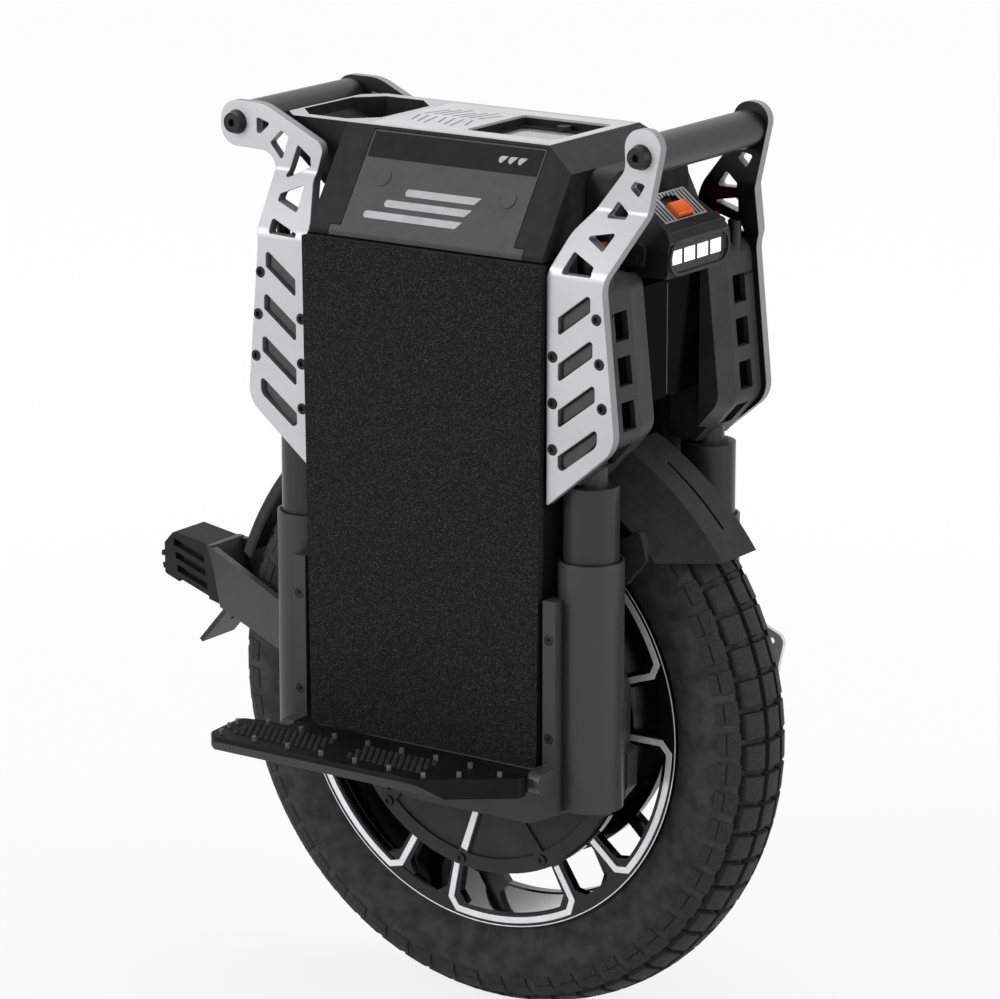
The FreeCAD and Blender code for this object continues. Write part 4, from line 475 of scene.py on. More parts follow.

# %% [markdown]
# The last group is small: light grey deck, orange key, red tail lens, battery film and the
# green circuit board. The lamp's clear lens and the dark display are glass. The light modules
# glow a little though the lamp is off: a painted glow.


# %% Mix the small finishes
def clear_lens():
    mat = finish("clear_lens", (0.93, 0.95, 0.97, 1), (0.97, 0.98, 1.0, 1), (0.02, 0.05), gloss=0.5,
                 lift=0.01)
    skin = mat.node_tree.nodes["Principled BSDF"]
    skin.inputs["Transmission Weight"].default_value = 1.0
    skin.inputs["IOR"].default_value = 1.2
    return mat


def light_module_with_painted_glow():
    """White where it faces ahead, black on its sides. Both colours also glow a little: a painted glow, as the lamp
    is off.
    """
    mat = finish("light_module_with_painted_glow", tone(228), tone(255), (0.2, 0.5), gloss=0.3, mottle=260.0,
                 grain=900.0)
    nodes, links = mat.node_tree.nodes, mat.node_tree.links
    side = test(nodes, links, parts_of(nodes, links, "Normal")["X"], "LESS_THAN", 0.6)
    skin = nodes["Principled BSDF"]
    links.new(spray(nodes, links, side, tone(14)), skin.inputs["Emission Color"])
    skin.inputs["Emission Strength"].default_value = 0.5
    return mat


finishes["deck"] = finish("deck_inlay", tone(190), tone(200), (0.32, 0.44), gloss=0.3,
                          grain=1500.0, lift=0.05)
finishes["screen"] = finish("display_glass", tone(6), tone(12), (0.04, 0.09), gloss=0.5, lift=0.01,
                            coat=0.6)
finishes["board"] = finish("board_mask", (0.01, 0.09, 0.03, 1), (0.02, 0.14, 0.05, 1), (0.3, 0.5),
                           mottle=160.0)
finishes["battery"] = finish("battery_film", (0.03, 0.08, 0.24, 1), (0.05, 0.12, 0.32, 1),
                             (0.25, 0.4), mottle=60.0)
finishes["tail_lens"] = finish("tail_lens_red", (0.30, 0.006, 0.01, 1), (0.42, 0.01, 0.016, 1),
                               (0.1, 0.2), gloss=0.5, mottle=300.0, coat=0.5)
finishes["lamp_lens"] = clear_lens()
finishes["led"] = light_module_with_painted_glow()
finishes["orange_key"] = finish("orange_key", (0.80, 0.105, 0.006, 1), (0.90, 0.15, 0.012, 1),
                                (0.26, 0.4), gloss=0.5, mottle=80.0, lift=0.06)
print("with the small ones", len(finishes))

# %% [markdown]
# The leg pads carry a gritty grip sheet: almost black, with countless tiny bright points that
# are painted glints of the grit. A fine noise is pushed through a steep ramp so that only its
# peaks turn light, and these points are added to the sheet's own colour. The finish's grain lifts
# the bump as on other pieces.


# %% Mix the grip sheet
def grip_sheet():
    mat = finish("grip_sheet", tone(22), tone(30), (0.6, 0.85), gloss=0.06, mottle=500.0,
                 grain=1500.0, lift=0.35)
    nodes, links = mat.node_tree.nodes, mat.node_tree.links
    # Painted glints: the peaks of a fine noise turn light on the grit.
    peaks = cloud(nodes, links, own_place(nodes)["Object"], 1150.0, 1.0)
    points = two_tone(nodes, links, peaks, tone(0), tone(88), 0.54, 0.86)
    links.new(points, colour_mix(nodes, links, "ADD").inputs["B"])
    return mat


finishes["pad"] = grip_sheet()
print("grip sheet ready")

# %% [markdown]
# The side plates are silver on their outer faces, and their edges are a darker satin. The finish
# reads the surface direction in the plate's own space: outward faces turn silver, and inward
# faces, towards the body, are painted black as shade.


# %% Mix the plate's painted shade
def facing_out(nodes, links):
    """Socket from 0, facing the body, to 1, facing away from it, on both sides."""
    side = nodes.new("ShaderNodeMath")
    side.operation = "SIGN"
    links.new(parts_of(nodes, links, "Object")["Y"], side.inputs[0])
    out = product(nodes, links, side.outputs[0], parts_of(nodes, links, "Normal")["Y"])
    half = nodes.new("ShaderNodeMath")
    half.operation = "MULTIPLY_ADD"
    half.inputs[1].default_value = 0.5
    half.inputs[2].default_value = 0.5
    links.new(out, half.inputs[0])
    return half.outputs[0]


def plate_with_painted_shade():
    mat = finish("plate_with_painted_shade", tone(192), tone(204), (0.36, 0.48), gloss=0.35, mottle=12.0,
                 grain=900.0, stretch=(0.15, 1, 1), lift=0.05, edge=0.0012)
    nodes, links = mat.node_tree.nodes, mat.node_tree.links
    outward = facing_out(nodes, links)
    # Painted shade: inward faces turn black. Edges get a darker grey, and outward faces are silver.
    face = two_tone(nodes, links, outward, tone(16), (1, 1, 1, 1), 0.30, 0.80)
    edge_grey = face.node.color_ramp.elements.new(0.42)
    edge_grey.color = tone(150)
    links.new(face, colour_mix(nodes, links, "MULTIPLY").inputs["B"])
    links.new(span(nodes, links, outward, 0.1, 0.35), nodes["Principled BSDF"].inputs["Metallic"])
    return mat


finishes["plate"] = plate_with_painted_shade()
print("plate finish ready")

# %% [markdown]
# The tail prop is one welded frame, finished dark. Below the tail block its upward faces, the
# top of the kick plate among them, get a painted highlight in light grey. The finish looks at
# height and at the surface's direction.


# %% Mix the tail's painted highlight
def tail_finish_with_painted_highlight():
    mat = finish("tail_finish_with_painted_highlight", tone(38), tone(46), (0.4, 0.55), gloss=0.35)
    # Painted highlight: upward faces below the tail block turn light grey.
    highlight_from_above(mat, "LESS_THAN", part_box("tail_block")[0].z - 0.002, slant=0.25,
                     colour=tone(185))
    return mat


finishes["tail_bracket"] = tail_finish_with_painted_highlight()
print("finishes", len(finishes))

# %% [markdown]
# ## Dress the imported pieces
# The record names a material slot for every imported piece. One loop swaps the plain import
# material for the finish of that slot. Shapes stay exactly as they were packed.

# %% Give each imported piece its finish
for part in frame["record"]["subparts"]:
    shell = frame["nodes"][part["node"]].data
    shell.materials.clear()
    shell.materials.append(finishes[part["material_slot"]])

# %% [markdown]
# ## A small kit for added pieces
# Most added detail is a flat outline pushed out by a small thickness, or a few loops joined in
# order. Both could be made with modifiers, one object each. Pushes and bevels are in metres, as
# Blender's own units are.


# %% Make the stock
class Stock:
    """Corner points and faces of one piece while it is being cut."""

    def __init__(self):
        self.points = []
        self.faces = []

    def prism(self, loop, push):
        """Add an outline and its copy moved by push, joined by side faces."""
        first, count = len(self.points), len(loop)
        self.points += [Vector(p) for p in loop] + [Vector(p) + Vector(push) for p in loop]
        self.faces.append([first + i for i in reversed(range(count))])
        self.faces.append([first + count + i for i in range(count)])
        for i in range(count):
            after = (i + 1) % count
            self.faces.append([first + i, first + after, first + count + after, first + count + i])

    def rings(self, loops):
        """Add closed loops of equal length, joined in order and capped at both ends."""
        first, count = len(self.points), len(loops[0])
        for loop in loops:
            self.points += [Vector(p) for p in loop]
        for k in range(len(loops) - 1):
            for i in range(count):
                a, b = first + k * count + i, first + k * count + (i + 1) % count
                self.faces.append([a, b, b + count, a + count])
        last = first + (len(loops) - 1) * count
        self.faces.append([first + i for i in reversed(range(count))])
        self.faces.append([last + i for i in range(count)])


print("stock ready")

# %% [markdown]
# When the stock is cut, it becomes a mesh with all faces turned outward. A bevel modifier
# softens the edges where asked, and the piece is told which body it rides on.

# %% Turn stock into pieces
SHARP = math.radians(35)


def add_piece(name, stock, body, slot, bevel=0.0, smooth=False, material=None):
    """Turn stock into an object that rides on a body."""
    mesh = bpy.data.meshes.new(name)
    mesh.from_pydata(stock.points, [], stock.faces)
    work = bmesh.new()
    work.from_mesh(mesh)
    bmesh.ops.recalc_face_normals(work, faces=work.faces)
    work.to_mesh(mesh)
    work.free()
    mesh.materials.append(material or finishes[slot])
    if smooth:
        mesh.shade_smooth()
    obj = bpy.data.objects.new(name, mesh)
    scene.collection.objects.link(obj)
    if bevel:
        soften = obj.modifiers.new("soft_edges", "BEVEL")
        soften.width = bevel
        soften.segments = 2
        soften.limit_method = "ANGLE"
        soften.angle_limit = SHARP
    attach(obj, body)
    print(name, "faces", len(mesh.polygons))
    return obj


print("edges that turn by more than", round(math.degrees(SHARP)), "degrees can be softened")

# %% [markdown]
# ## Tyre
# A street and trail tyre has separate rubber blocks on a round carcass. The carcass is a
# section turned about the axle, a few millimetres lower under the tread. It takes the place of
# the plain packed tyre.

# %% Turn the carcass
TREAD_R, CROWN_R = 255.0, 51.4
TREAD_HALF, TREAD_STEP, UNDER_TREAD = 30, 6, 6.5
BEAD_R, WALL_TALL = 185.0, 57.0
BEAD_HALF, WALL_FLARE, WALL_BELLY, WALL_LIMIT = 29.95, 3.0, 9.4, 40.9
SEAT_R, SEAT_HALF = 178.0, 29.5
WALL_STEPS, WALL_RIBS, WALL_RIB_TALL = 14, (2, 4), 0.5
TURNS = 272


def polar(r, degrees, y):
    """Point on the wheel, turned from straight ahead towards up."""
    a = math.radians(degrees)
    return spot(r * math.cos(a), y, AXLE_Z + r * math.sin(a))


def crown(y):
    """Radius of the tread surface at a distance from the middle."""
    return TREAD_R - CROWN_R + math.sqrt(CROWN_R ** 2 - y * y)


def sidewall():
    """Section of the left sidewall, from the bead out to the shoulder, with two fine ribs."""
    section = []
    for i in range(WALL_STEPS + 1):
        t = i / WALL_STEPS
        swell = math.sin(math.pi * min(1.0, t * 0.98 + 0.02)) ** 0.9
        belly = BEAD_HALF + WALL_FLARE * t + WALL_BELLY * swell
        rib = WALL_RIB_TALL if i in WALL_RIBS else 0.0
        section.append((BEAD_R + WALL_TALL * t, min(WALL_LIMIT, belly + rib)))
    return section


def turn_carcass():
    left = sidewall()
    base = [(crown(y) - UNDER_TREAD, y) for y in range(TREAD_HALF, -TREAD_HALF - 1, -TREAD_STEP)]
    right = [(r, -y) for r, y in reversed(left)]
    section = left + base + right + [(SEAT_R, -SEAT_HALF), (SEAT_R, SEAT_HALF)]
    stock = Stock()
    count = len(section)
    for k in range(TURNS):
        stock.points += [polar(r, 360 * k / TURNS, y) for r, y in section]
    for k in range(TURNS):
        for i in range(count):
            a, b = k * count + i, k * count + (i + 1) % count
            c, d = (b + count) % (TURNS * count), (a + count) % (TURNS * count)
            stock.faces.append([a, b, c, d])
    return add_piece("tyre_carcass", stock, "wheel", "tyre", smooth=True)


carcass = turn_carcass()
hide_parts("tyre")

# %% [markdown]
# The tread has three rows of long blocks with clear gaps and, half a pitch on, a shoulder row
# at each side. A shoulder block is split by a slit: the outer half is lower and wraps onto the
# sidewall, which is what bites on soft ground. Between the middle blocks a low tie bar stops
# them from squirming. Blocks could be modelled once and arrayed, but a block that follows the
# crown needs its own section, so each is swept over a few degrees from the crown's formula.

# %% Cut the tread blocks
BLOCKS = 60
PITCH = 360.0 / BLOCKS
BLOCK_ROOT, BLOCK_FOOT, BLOCK_LEAN = 7.5, 0.5, 0.2
MIDDLE_ROW, SIDE_ROW = (-7.8, 7.8), (12.6, 27.6)
ROW_ARC, NEAR_ARC, WRAP_ARC, TIE_ARC = 2.48, 2.3, 2.2, 0.6
TIE_HALF, TIE_DROP = 4.0, 3.4
NEAR_HALF = [(236, 30.2), (243.2, 31.6), (241.4, 33.8), (234.6, 38.0), (231, 36)]
WRAP_HALF = [(231, 36), (233.2, 38.6), (229.4, 40.0), (226.4, 40.6), (224, 38)]


def block(stock, section, at, arc):
    """Sweep a section to both sides of an angle by an arc, a little less at the top."""
    low = min(r for r, _ in section)
    high = max(r for r, _ in section)
    loops = []
    for edge, lean in ((at - arc, BLOCK_LEAN), (at + arc, -BLOCK_LEAN)):
        loops.append([polar(r, edge + lean * (r - low) / (high - low), y) for r, y in section])
    stock.rings(loops)


def row_section(y0, y1):
    """Section of a block that follows the crown from y0 to y1, with a wider foot."""
    steps = [y0 + (y1 - y0) * i / 4 for i in range(5)]
    foot0, foot1 = (crown(y0) - BLOCK_ROOT, y0 - BLOCK_FOOT), (crown(y1) - BLOCK_ROOT, y1 + BLOCK_FOOT)
    return [foot0] + [(crown(y), y) for y in steps] + [foot1]


def tie_section():
    """Section of the low bar between two middle blocks."""
    root, top = crown(TIE_HALF) - BLOCK_ROOT, crown(TIE_HALF) - TIE_DROP
    foot = TIE_HALF + BLOCK_FOOT
    return [(root, -foot), (top, -TIE_HALF), (top, TIE_HALF), (root, foot)]


def cut_tread():
    centre, shoulder = Stock(), Stock()
    middle_row, side_row, tie = row_section(*MIDDLE_ROW), row_section(*SIDE_ROW), tie_section()
    for i in range(BLOCKS):
        here = PITCH * i
        half_on = here + PITCH / 2
        block(centre, middle_row, here, ROW_ARC)
        block(centre, tie, half_on, TIE_ARC)
        for side in (1, -1):
            block(centre, [(r, side * y) for r, y in side_row], here, ROW_ARC)
            block(shoulder, [(r, side * y) for r, y in NEAR_HALF], half_on, NEAR_ARC)
            block(shoulder, [(r, side * y) for r, y in WRAP_HALF], half_on, WRAP_ARC)
    rubber = finish("tread_rubber", tone(46), tone(58), (0.55, 0.75), gloss=0.1, mottle=500.0,
                    grain=1500.0, lift=0.5)
    add_piece("tread_centre", centre, "wheel", "tyre", bevel=0.0004, material=rubber)
    add_piece("tread_shoulder", shoulder, "wheel", "tyre", bevel=0.0004, material=rubber)


cut_tread()

# %% [markdown]
# ## Rim lines
# Diamond turning cuts through the black lacquer and leaves bright metal. On this rim a bright
# line runs round three sides of each wide window, and a hairline follows the lip. The line is
# a ribbon with mitred corners, laid on the spoke face. A curve with a flat bevel could do it,
# but its corners would pinch.

# %% Lay the bright lines
FIRST_ANGLE = -80.3
WINDOWS = 6
LINE_WIDTH, HAIRLINE_WIDTH = 5.2, 0.9
LINE_END_R, LINE_BEND_R, LINE_TOP_R, LIP_R = 140, 170.5, 178.2, 183.5
LEG_ANGLE, ARC_ANGLE, ARC_STEPS, LIP_STEPS = 20.8, 18.2, 18, 180
LINE_BACK, LINE_FACE, HAIRLINE_BACK, HAIRLINE_FACE = 34.05, 35.4, 34.8, 35.25
bright_cut = finish("bright_cut", tone(240), tone(252), (0.18, 0.3), metal=0.35, gloss=0.5,
                    mottle=60.0, grain=1200.0, lift=0.02)


def mitre(before, here, after, width):
    """Left and right point of a ribbon at one of its corners."""
    arms = []
    for p, q in ((before, here), (here, after)):
        length = math.hypot(q[0] - p[0], q[1] - p[1])
        if length > 1e-6:
            arms.append(((q[0] - p[0]) / length, (q[1] - p[1]) / length))
    tx, tz = arms[0][0] + arms[-1][0], arms[0][1] + arms[-1][1]
    norm = math.hypot(tx, tz)
    nx, nz = -tz / norm, tx / norm
    reach = width / 2 / max(0.5, -arms[0][1] * nx + arms[0][0] * nz)
    x, z = here
    return (x + nx * reach, z + nz * reach), (x - nx * reach, z - nz * reach)


def ribbon(stock, path, width, y0, y1):
    """Flat ribbon along polar points, mitred at its corners, between two depths."""
    flat = [(r * math.cos(math.radians(a)), r * math.sin(math.radians(a))) for r, a in path]
    last = len(flat) - 1
    edges = [mitre(flat[max(i - 1, 0)], flat[i], flat[min(i + 1, last)], width) for i in range(last + 1)]
    for (left0, right0), (left1, right1) in zip(edges, edges[1:]):
        loop = [spot(x, y0, AXLE_Z + z) for x, z in (left0, left1, right1, right0)]
        stock.prism(loop, (0, (y1 - y0) / 1000, 0))


def rim_lines():
    stock = Stock()
    for side in (1, -1):
        for k in range(WINDOWS):
            mid = FIRST_ANGLE + 360 / WINDOWS * k
            low, high = mid - LEG_ANGLE, mid + LEG_ANGLE
            turns = [mid - ARC_ANGLE + 2 * ARC_ANGLE * i / ARC_STEPS for i in range(ARC_STEPS + 1)]
            path = [(LINE_END_R, low), (LINE_BEND_R, low)] + [(LINE_TOP_R, a) for a in turns]
            path += [(LINE_BEND_R, high), (LINE_END_R, high)]
            ribbon(stock, path, LINE_WIDTH, side * LINE_BACK, side * LINE_FACE)
        hairline = [(LIP_R, 360 * i / LIP_STEPS) for i in range(LIP_STEPS + 1)]
        ribbon(stock, hairline, HAIRLINE_WIDTH, side * HAIRLINE_BACK, side * HAIRLINE_FACE)
    add_piece("rim_bright_lines", stock, "wheel", "rim", material=bright_cut)


rim_lines()

# %% [markdown]
# The motor covers carry ribs in pairs. One rib of each pair has its face cut bright, so the
# hub shows five bright strokes as it turns.

# %% Face the cover ribs
RIB_PAIRS = 5
RIB_ROOT_R, RIB_TIP_R, RIB_SWEEP = 50, 131, 18
COVER_FACE = 40.45
RIB_FACE_HALF, RIB_FACE_THICK = 0.0032, 0.00035
CUT_START, CUT_END, CUT_TAPER = 0.3, 0.9, 0.8


def rib_faces():
    stock = Stock()
    for side in (1, -1):
        for k in range(RIB_PAIRS):
            mid = FIRST_ANGLE + 360 / RIB_PAIRS * k
            root = polar(RIB_ROOT_R, mid, side * COVER_FACE)
            tip = polar(RIB_TIP_R, mid - RIB_SWEEP, side * COVER_FACE)
            along = (tip - root).normalized()
            across = Vector((-along.z, 0, along.x)) * RIB_FACE_HALF
            narrow = across * CUT_TAPER
            start, end = root + (tip - root) * CUT_START, root + (tip - root) * CUT_END
            loop = [start + narrow, end + across, end - across, start - narrow]
            stock.prism(loop, (0, side * RIB_FACE_THICK, 0))
    add_piece("cover_rib_faces", stock, "wheel", "motor", bevel=0.0002, material=bright_cut)


rib_faces()

# %% [markdown]
# ## Side plates
# Each slanted slot in the silver plates is filled by a dark grey insert that sits back from the
# face. The inserts are the slot's outline drawn in a little, with soft edges.

# %% Fill the plate slots
SEATED = 0.05  # a hair's breadth, so that no two faces share a plane
PLATE_BACK, INSERT_THICK = 108.0, 0.0042
SLOTS, SLOT_STEP, SLOT_FIRST_Z = 4, 36.3, 595.0
SLOT_X, SLOT_END_X, SLOT_GROWTH = 125.3, 154.5, 2.2
SLOT_TALL, SLOT_SLOPE = 14.5, 0.75
DRAWN_IN_X, DRAWN_IN_Z = 0.86, 0.84


def slot_outline(i):
    """Corners of one slot as x and z, counted from the top. The lowest has a rounded foot."""
    x0, x1 = SLOT_X, SLOT_END_X + SLOT_GROWTH * i
    z = SLOT_FIRST_Z - SLOT_STEP * i
    rise = (x1 - x0) * SLOT_SLOPE
    foot = [(x0, z), (x1, z + rise)]
    if i == SLOTS - 1:
        foot = [(x0, z + 5), (x0 + 3, z + 1.5), (x0 + 8, z + 2)]
        foot += [(x1 - 6, z + rise - 3), (x1, z + rise + 4)]
    return foot + [(x1, z + rise + SLOT_TALL), (x0, z + SLOT_TALL)]


def slot_inserts():
    stock = Stock()
    for i in range(SLOTS):
        outline = slot_outline(i)
        cx = sum(p[0] for p in outline) / len(outline)
        cz = sum(p[1] for p in outline) / len(outline)
        inset = [(cx + (x - cx) * DRAWN_IN_X, cz + (z - cz) * DRAWN_IN_Z) for x, z in outline]
        for end in (1, -1):
            for side in (1, -1):
                loop = [spot(end * x, side * (PLATE_BACK + SEATED), z) for x, z in inset]
                stock.prism(loop, (0, side * INSERT_THICK, 0))
    add_piece("slot_inserts", stock, "chassis", "hatch", bevel=0.0009)


slot_inserts()

# %% [markdown]
# ## Hatches
# The hatch on each side leans inward. A dark band with three short marks runs along its top, and
# light level bars break up the grey plastic below. A picture could carry such a print. Here it is
# thin flat shapes laid on the leaning face, so that it stays sharp and follows the shading.

# %% Print the hatches
CASE_LOW, DECK = 654.0, 730.5
CASE_HALF, DECK_HALF = 116.0, 64.0
LEAN = math.atan2(CASE_HALF - DECK_HALF, DECK - CASE_LOW)
OUT = Vector((0, math.cos(LEAN), math.sin(LEAN)))
BAND_HALF, BAND_LOW, BAND_HIGH, BAND_THICK = 80.5, 708, 726.5, 0.0002
BAR_REAR, BAR_AHEAD, BAR_LOW = -62, 26, 668
BAR_REAR_STEP, BAR_AHEAD_STEP, BAR_STEP = 16, 5, 9
MARK_X, MARK_LONG, MARK_Z, MARK_STEP = 44, 3, 717, 9
BAR_HALF, PRINT_THICK = 2.6, 0.0003


def on_hatch(x, z, side, proud=0.0):
    """Point on the leaning face of a hatch, raised or sunk by so many millimetres."""
    y = CASE_HALF - (z - CASE_LOW) * math.tan(LEAN)
    lift = OUT * (proud / 1000)
    return spot(x, side * y, z) + Vector((0, side * lift.y, lift.z))


def hatch_sheet(name, shapes, thick, material):
    """Flat outlines laid on both hatches."""
    stock = Stock()
    for side in (1, -1):
        for shape in shapes:
            loop = [on_hatch(x, z, side, -SEATED) for x, z in shape]
            stock.prism(loop, (0, side * OUT.y * thick, OUT.z * thick))
    add_piece(name, stock, "chassis", "hatch", material=material)


def long_bar(x0, x1, z):
    """Level bar with a round end at the rear and a slanted end ahead."""
    turns = [math.pi * (0.5 + i / 8) for i in range(9)]
    rear = [(x0 + BAR_HALF * math.cos(a), z + BAR_HALF * math.sin(a)) for a in turns]
    return rear + [(x1 - BAR_HALF, z - BAR_HALF), (x1 + BAR_HALF, z + BAR_HALF)]


def hatch_print():
    dark = finish("hatch_band", tone(20), tone(26), (0.36, 0.5), mottle=90.0, lift=0.05)
    ink = finish("hatch_print", tone(182), tone(194), (0.36, 0.5), gloss=0.3, mottle=90.0, lift=0.05)
    hatch_sheet("hatch_band", [corners(-BAND_HALF, BAND_HALF, BAND_LOW, BAND_HIGH)], BAND_THICK, dark)
    bars, marks = [], []
    for i in range(3):
        rear, ahead = BAR_REAR + BAR_REAR_STEP * i, BAR_AHEAD + BAR_AHEAD_STEP * i
        bars.append(long_bar(rear, ahead, BAR_LOW + BAR_STEP * i))
        x = MARK_X + MARK_STEP * i
        marks.append(long_bar(x, x + MARK_LONG, MARK_Z))
    hatch_sheet("hatch_print", bars + marks, PRINT_THICK, ink)


hatch_print()

# %% [markdown]
# Two round plugs cover the screws of each hatch. A plug is turned, so it is rings of a few
# radii and heights about the direction in which the hatch faces.

# %% Press in the screw plugs
PLUG_PLACES = ((-58.9, 694.8), (62.0, 690.0))
PLUG_PROFILE = ((7.8, -0.2), (7.8, 0.5), (7.2, 0.9), (6.4, 0.6), (0.6, 0.6))
PLUG_STEPS = 32


def round_plug(stock, centre, out, across):
    """Turned button about a direction."""
    up = out.cross(across)
    turns = [2 * math.pi * i / PLUG_STEPS for i in range(PLUG_STEPS)]
    arms = [across * math.cos(a) + up * math.sin(a) for a in turns]
    stock.rings([[centre + arm * (r / 1000) + out * (h / 1000) for arm in arms] for r, h in PLUG_PROFILE])


def hatch_plugs():
    stock = Stock()
    for side in (1, -1):
        out = Vector((0, side * OUT.y, OUT.z))
        for x, z in PLUG_PLACES:
            round_plug(stock, on_hatch(x, z, side), out, Vector((1, 0, 0)))
    add_piece("hatch_plugs", stock, "chassis", "hatch")


hatch_plugs()

# %% [markdown]
# ## Deck
# The light grey deck inlay has a fine engraved figure between the grip well and the screen: a
# fan of slanted strokes. Real grooves this fine would need many cuts. Dark strokes barely proud
# of the face read as engraving.

# %% Engrave the deck
STROKES, STROKE_STEP, STROKE_FIRST_X = 7, 8.6, -84
STROKE_WIDTH, STROKE_SLANT, STROKE_GAP, STROKE_THICK = 1.6, 8, 4, 0.0002
STROKE_SHORT, STROKE_GROWTH = 22, 4


def deck_strokes():
    stock = Stock()
    for i in range(STROKES):
        x = STROKE_FIRST_X + STROKE_STEP * i
        ahead = x + STROKE_SLANT
        far = STROKE_GAP + STROKE_SHORT + STROKE_GROWTH * (i % 3)
        loop = [(x, STROKE_GAP), (x + STROKE_WIDTH, STROKE_GAP), (ahead + STROKE_WIDTH, far), (ahead, far)]
        for side in (1, -1):
            stock.prism([spot(a, side * b, DECK - SEATED) for a, b in loop], (0, 0, STROKE_THICK))
    ink = finish("deck_engraving", tone(96), tone(116), (0.4, 0.55), gloss=0.3, mottle=90.0, lift=0.05)
    add_piece("deck_strokes", stock, "chassis", "deck", material=ink)


deck_strokes()

# %% [markdown]
# ## Headlamp
# The lamp's sloping top is a heat sink: light ribs, framed at both ends, with an open dish for
# the orange key. A black sheet under the outer ribs is painted shade for the gaps between them.
# Ribs that would cross the dish stop short of it. All of them ride on the lamp, so they tilt with it.

# %% Rib the lamp's slope
SLOPE = math.radians(38.0)
DOWN_SLOPE = Vector((math.cos(SLOPE), 0, -math.sin(SLOPE)))
OFF_SLOPE = Vector((math.sin(SLOPE), 0, math.cos(SLOPE)))
lamp_low, lamp_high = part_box("lamp_body")
SLOPE_TOP = Vector((lamp_low.x + 0.004, 0, lamp_high.z))
RIB_STEP, RIB_HALF, RIB_TALL, RIB_ROOT = 4.8, 1.2, 1.3, 0.3
RIB_START, RIB_END, DISH_HALF, GAP_TALL = 1.2, 28.2, 13.5, 0.15


def on_slope(run, y, proud=0.0):
    """Point on the lamp's top: millimetres down the slope, sideways, and off the face."""
    down, off = DOWN_SLOPE * (run / 1000), OFF_SLOPE * (proud / 1000)
    return SLOPE_TOP + down + Vector((0, y / 1000, 0)) + off


def slope_bar(stock, run0, run1, y0, y1, height=RIB_TALL):
    """Bar on the lamp's top, rooted a little below the face."""
    loop = [on_slope(run, y, -RIB_ROOT) for run, y in corners(run0, run1, y0, y1)]
    stock.prism(loop, OFF_SLOPE * ((height + RIB_ROOT) / 1000))


def lamp_ribs():
    ribs, shade_sheets = Stock(), Stock()
    for i in range(-6, 7):
        y = RIB_STEP * i
        end = 4.0 + abs(y) * 0.2 if abs(y) < DISH_HALF else RIB_END
        slope_bar(ribs, RIB_START, end, y - RIB_HALF, y + RIB_HALF)
    # The frame: head, foot, and the dish's two sides, with a black sheet of painted shade beyond each.
    slope_bar(ribs, 0.6, 2.0, -30, 30)
    slope_bar(ribs, 28.0, 29.4, -30.5, 30.5)
    for side in (1, -1):
        slope_bar(ribs, 4.2, RIB_END, side * 12.0, side * 13.2)
        slope_bar(shade_sheets, 1.0, 29.0, side * 13.0, side * 30, GAP_TALL)
    metal = finish("lamp_rib_metal", tone(140), tone(168), (0.36, 0.5), metal=0.3, gloss=0.3, lift=0.08)
    shade = finish("lamp_rib_painted_shade_finish", tone(5), tone(8), (0.6, 0.8), gloss=0.03)
    add_piece("lamp_ribs", ribs, "headlamp", "lamp", bevel=0.0002, material=metal)
    add_piece("lamp_rib_painted_shade", shade_sheets, "headlamp", "lamp", material=shade)


lamp_ribs()

# %% [markdown]
# Behind the clear lens sit four square reflectors. A shallow funnel with a raised chip in the
# middle gives each one the sparkle of a real light module. A black mask covers what lies about
# them.

# %% Build the reflectors
lens_low, lens_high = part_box("lamp_lens")
LAMP_FACE = (lens_high.x - axle[0]) * 1000
LED_Z = (lens_low.z + lens_high.z) * 500
LED_PITCH = 19.0
LED_RIM = corners(-7.8, 7.8, -5.6, 5.6)
FUNNEL_BACK, FUNNEL = 4.7, ((0.0, 1.0), (1.2, 1.0), (1.2, 0.86), (0.3, 0.45), (0.9, 0.3))
MASK_HALF, MASK_EDGE, MASK_TALL, MASK_BAR = 33.0, 5.9, 10.6, 1.5
MASK_BACK, MASK_THICK = 4.8, 0.0014


def reflectors():
    """Rings from the back of each funnel over its lip to the chip: depth, and share of the rim."""
    stock = Stock()
    for k in range(4):
        y, x = LED_PITCH * (k - 1.5), LAMP_FACE - FUNNEL_BACK
        stock.rings([[spot(x + ahead, y + a * share, LED_Z + b * share) for a, b in LED_RIM]
                     for ahead, share in FUNNEL])
    # The reflectors take the light module finish, with its painted glow.
    add_piece("lamp_reflectors", stock, "headlamp", "led")


def reflector_mask():
    """Black bars above, below and between the reflectors."""
    stock = Stock()
    panes = [corners(-MASK_HALF, MASK_HALF, MASK_EDGE, MASK_TALL)]
    panes.append(corners(-MASK_HALF, MASK_HALF, -MASK_TALL, -MASK_EDGE))
    for middle_y in (-LED_PITCH, 0.0, LED_PITCH):
        panes.append(corners(middle_y - MASK_BAR, middle_y + MASK_BAR, -MASK_EDGE, MASK_EDGE))
    for pane in panes:
        stock.prism([spot(LAMP_FACE - MASK_BACK, y, LED_Z + z) for y, z in pane], (MASK_THICK, 0, 0))
    add_piece("lamp_reflector_mask", stock, "headlamp", "led", material=finishes["gloss_panel"])


reflectors()
reflector_mask()

# %% [markdown]
# A trim line follows the rounded window, and the brow above it gets a painted highlight at each
# bend. Both are thin strips, set into the lamp's face by a fraction of a millimetre.

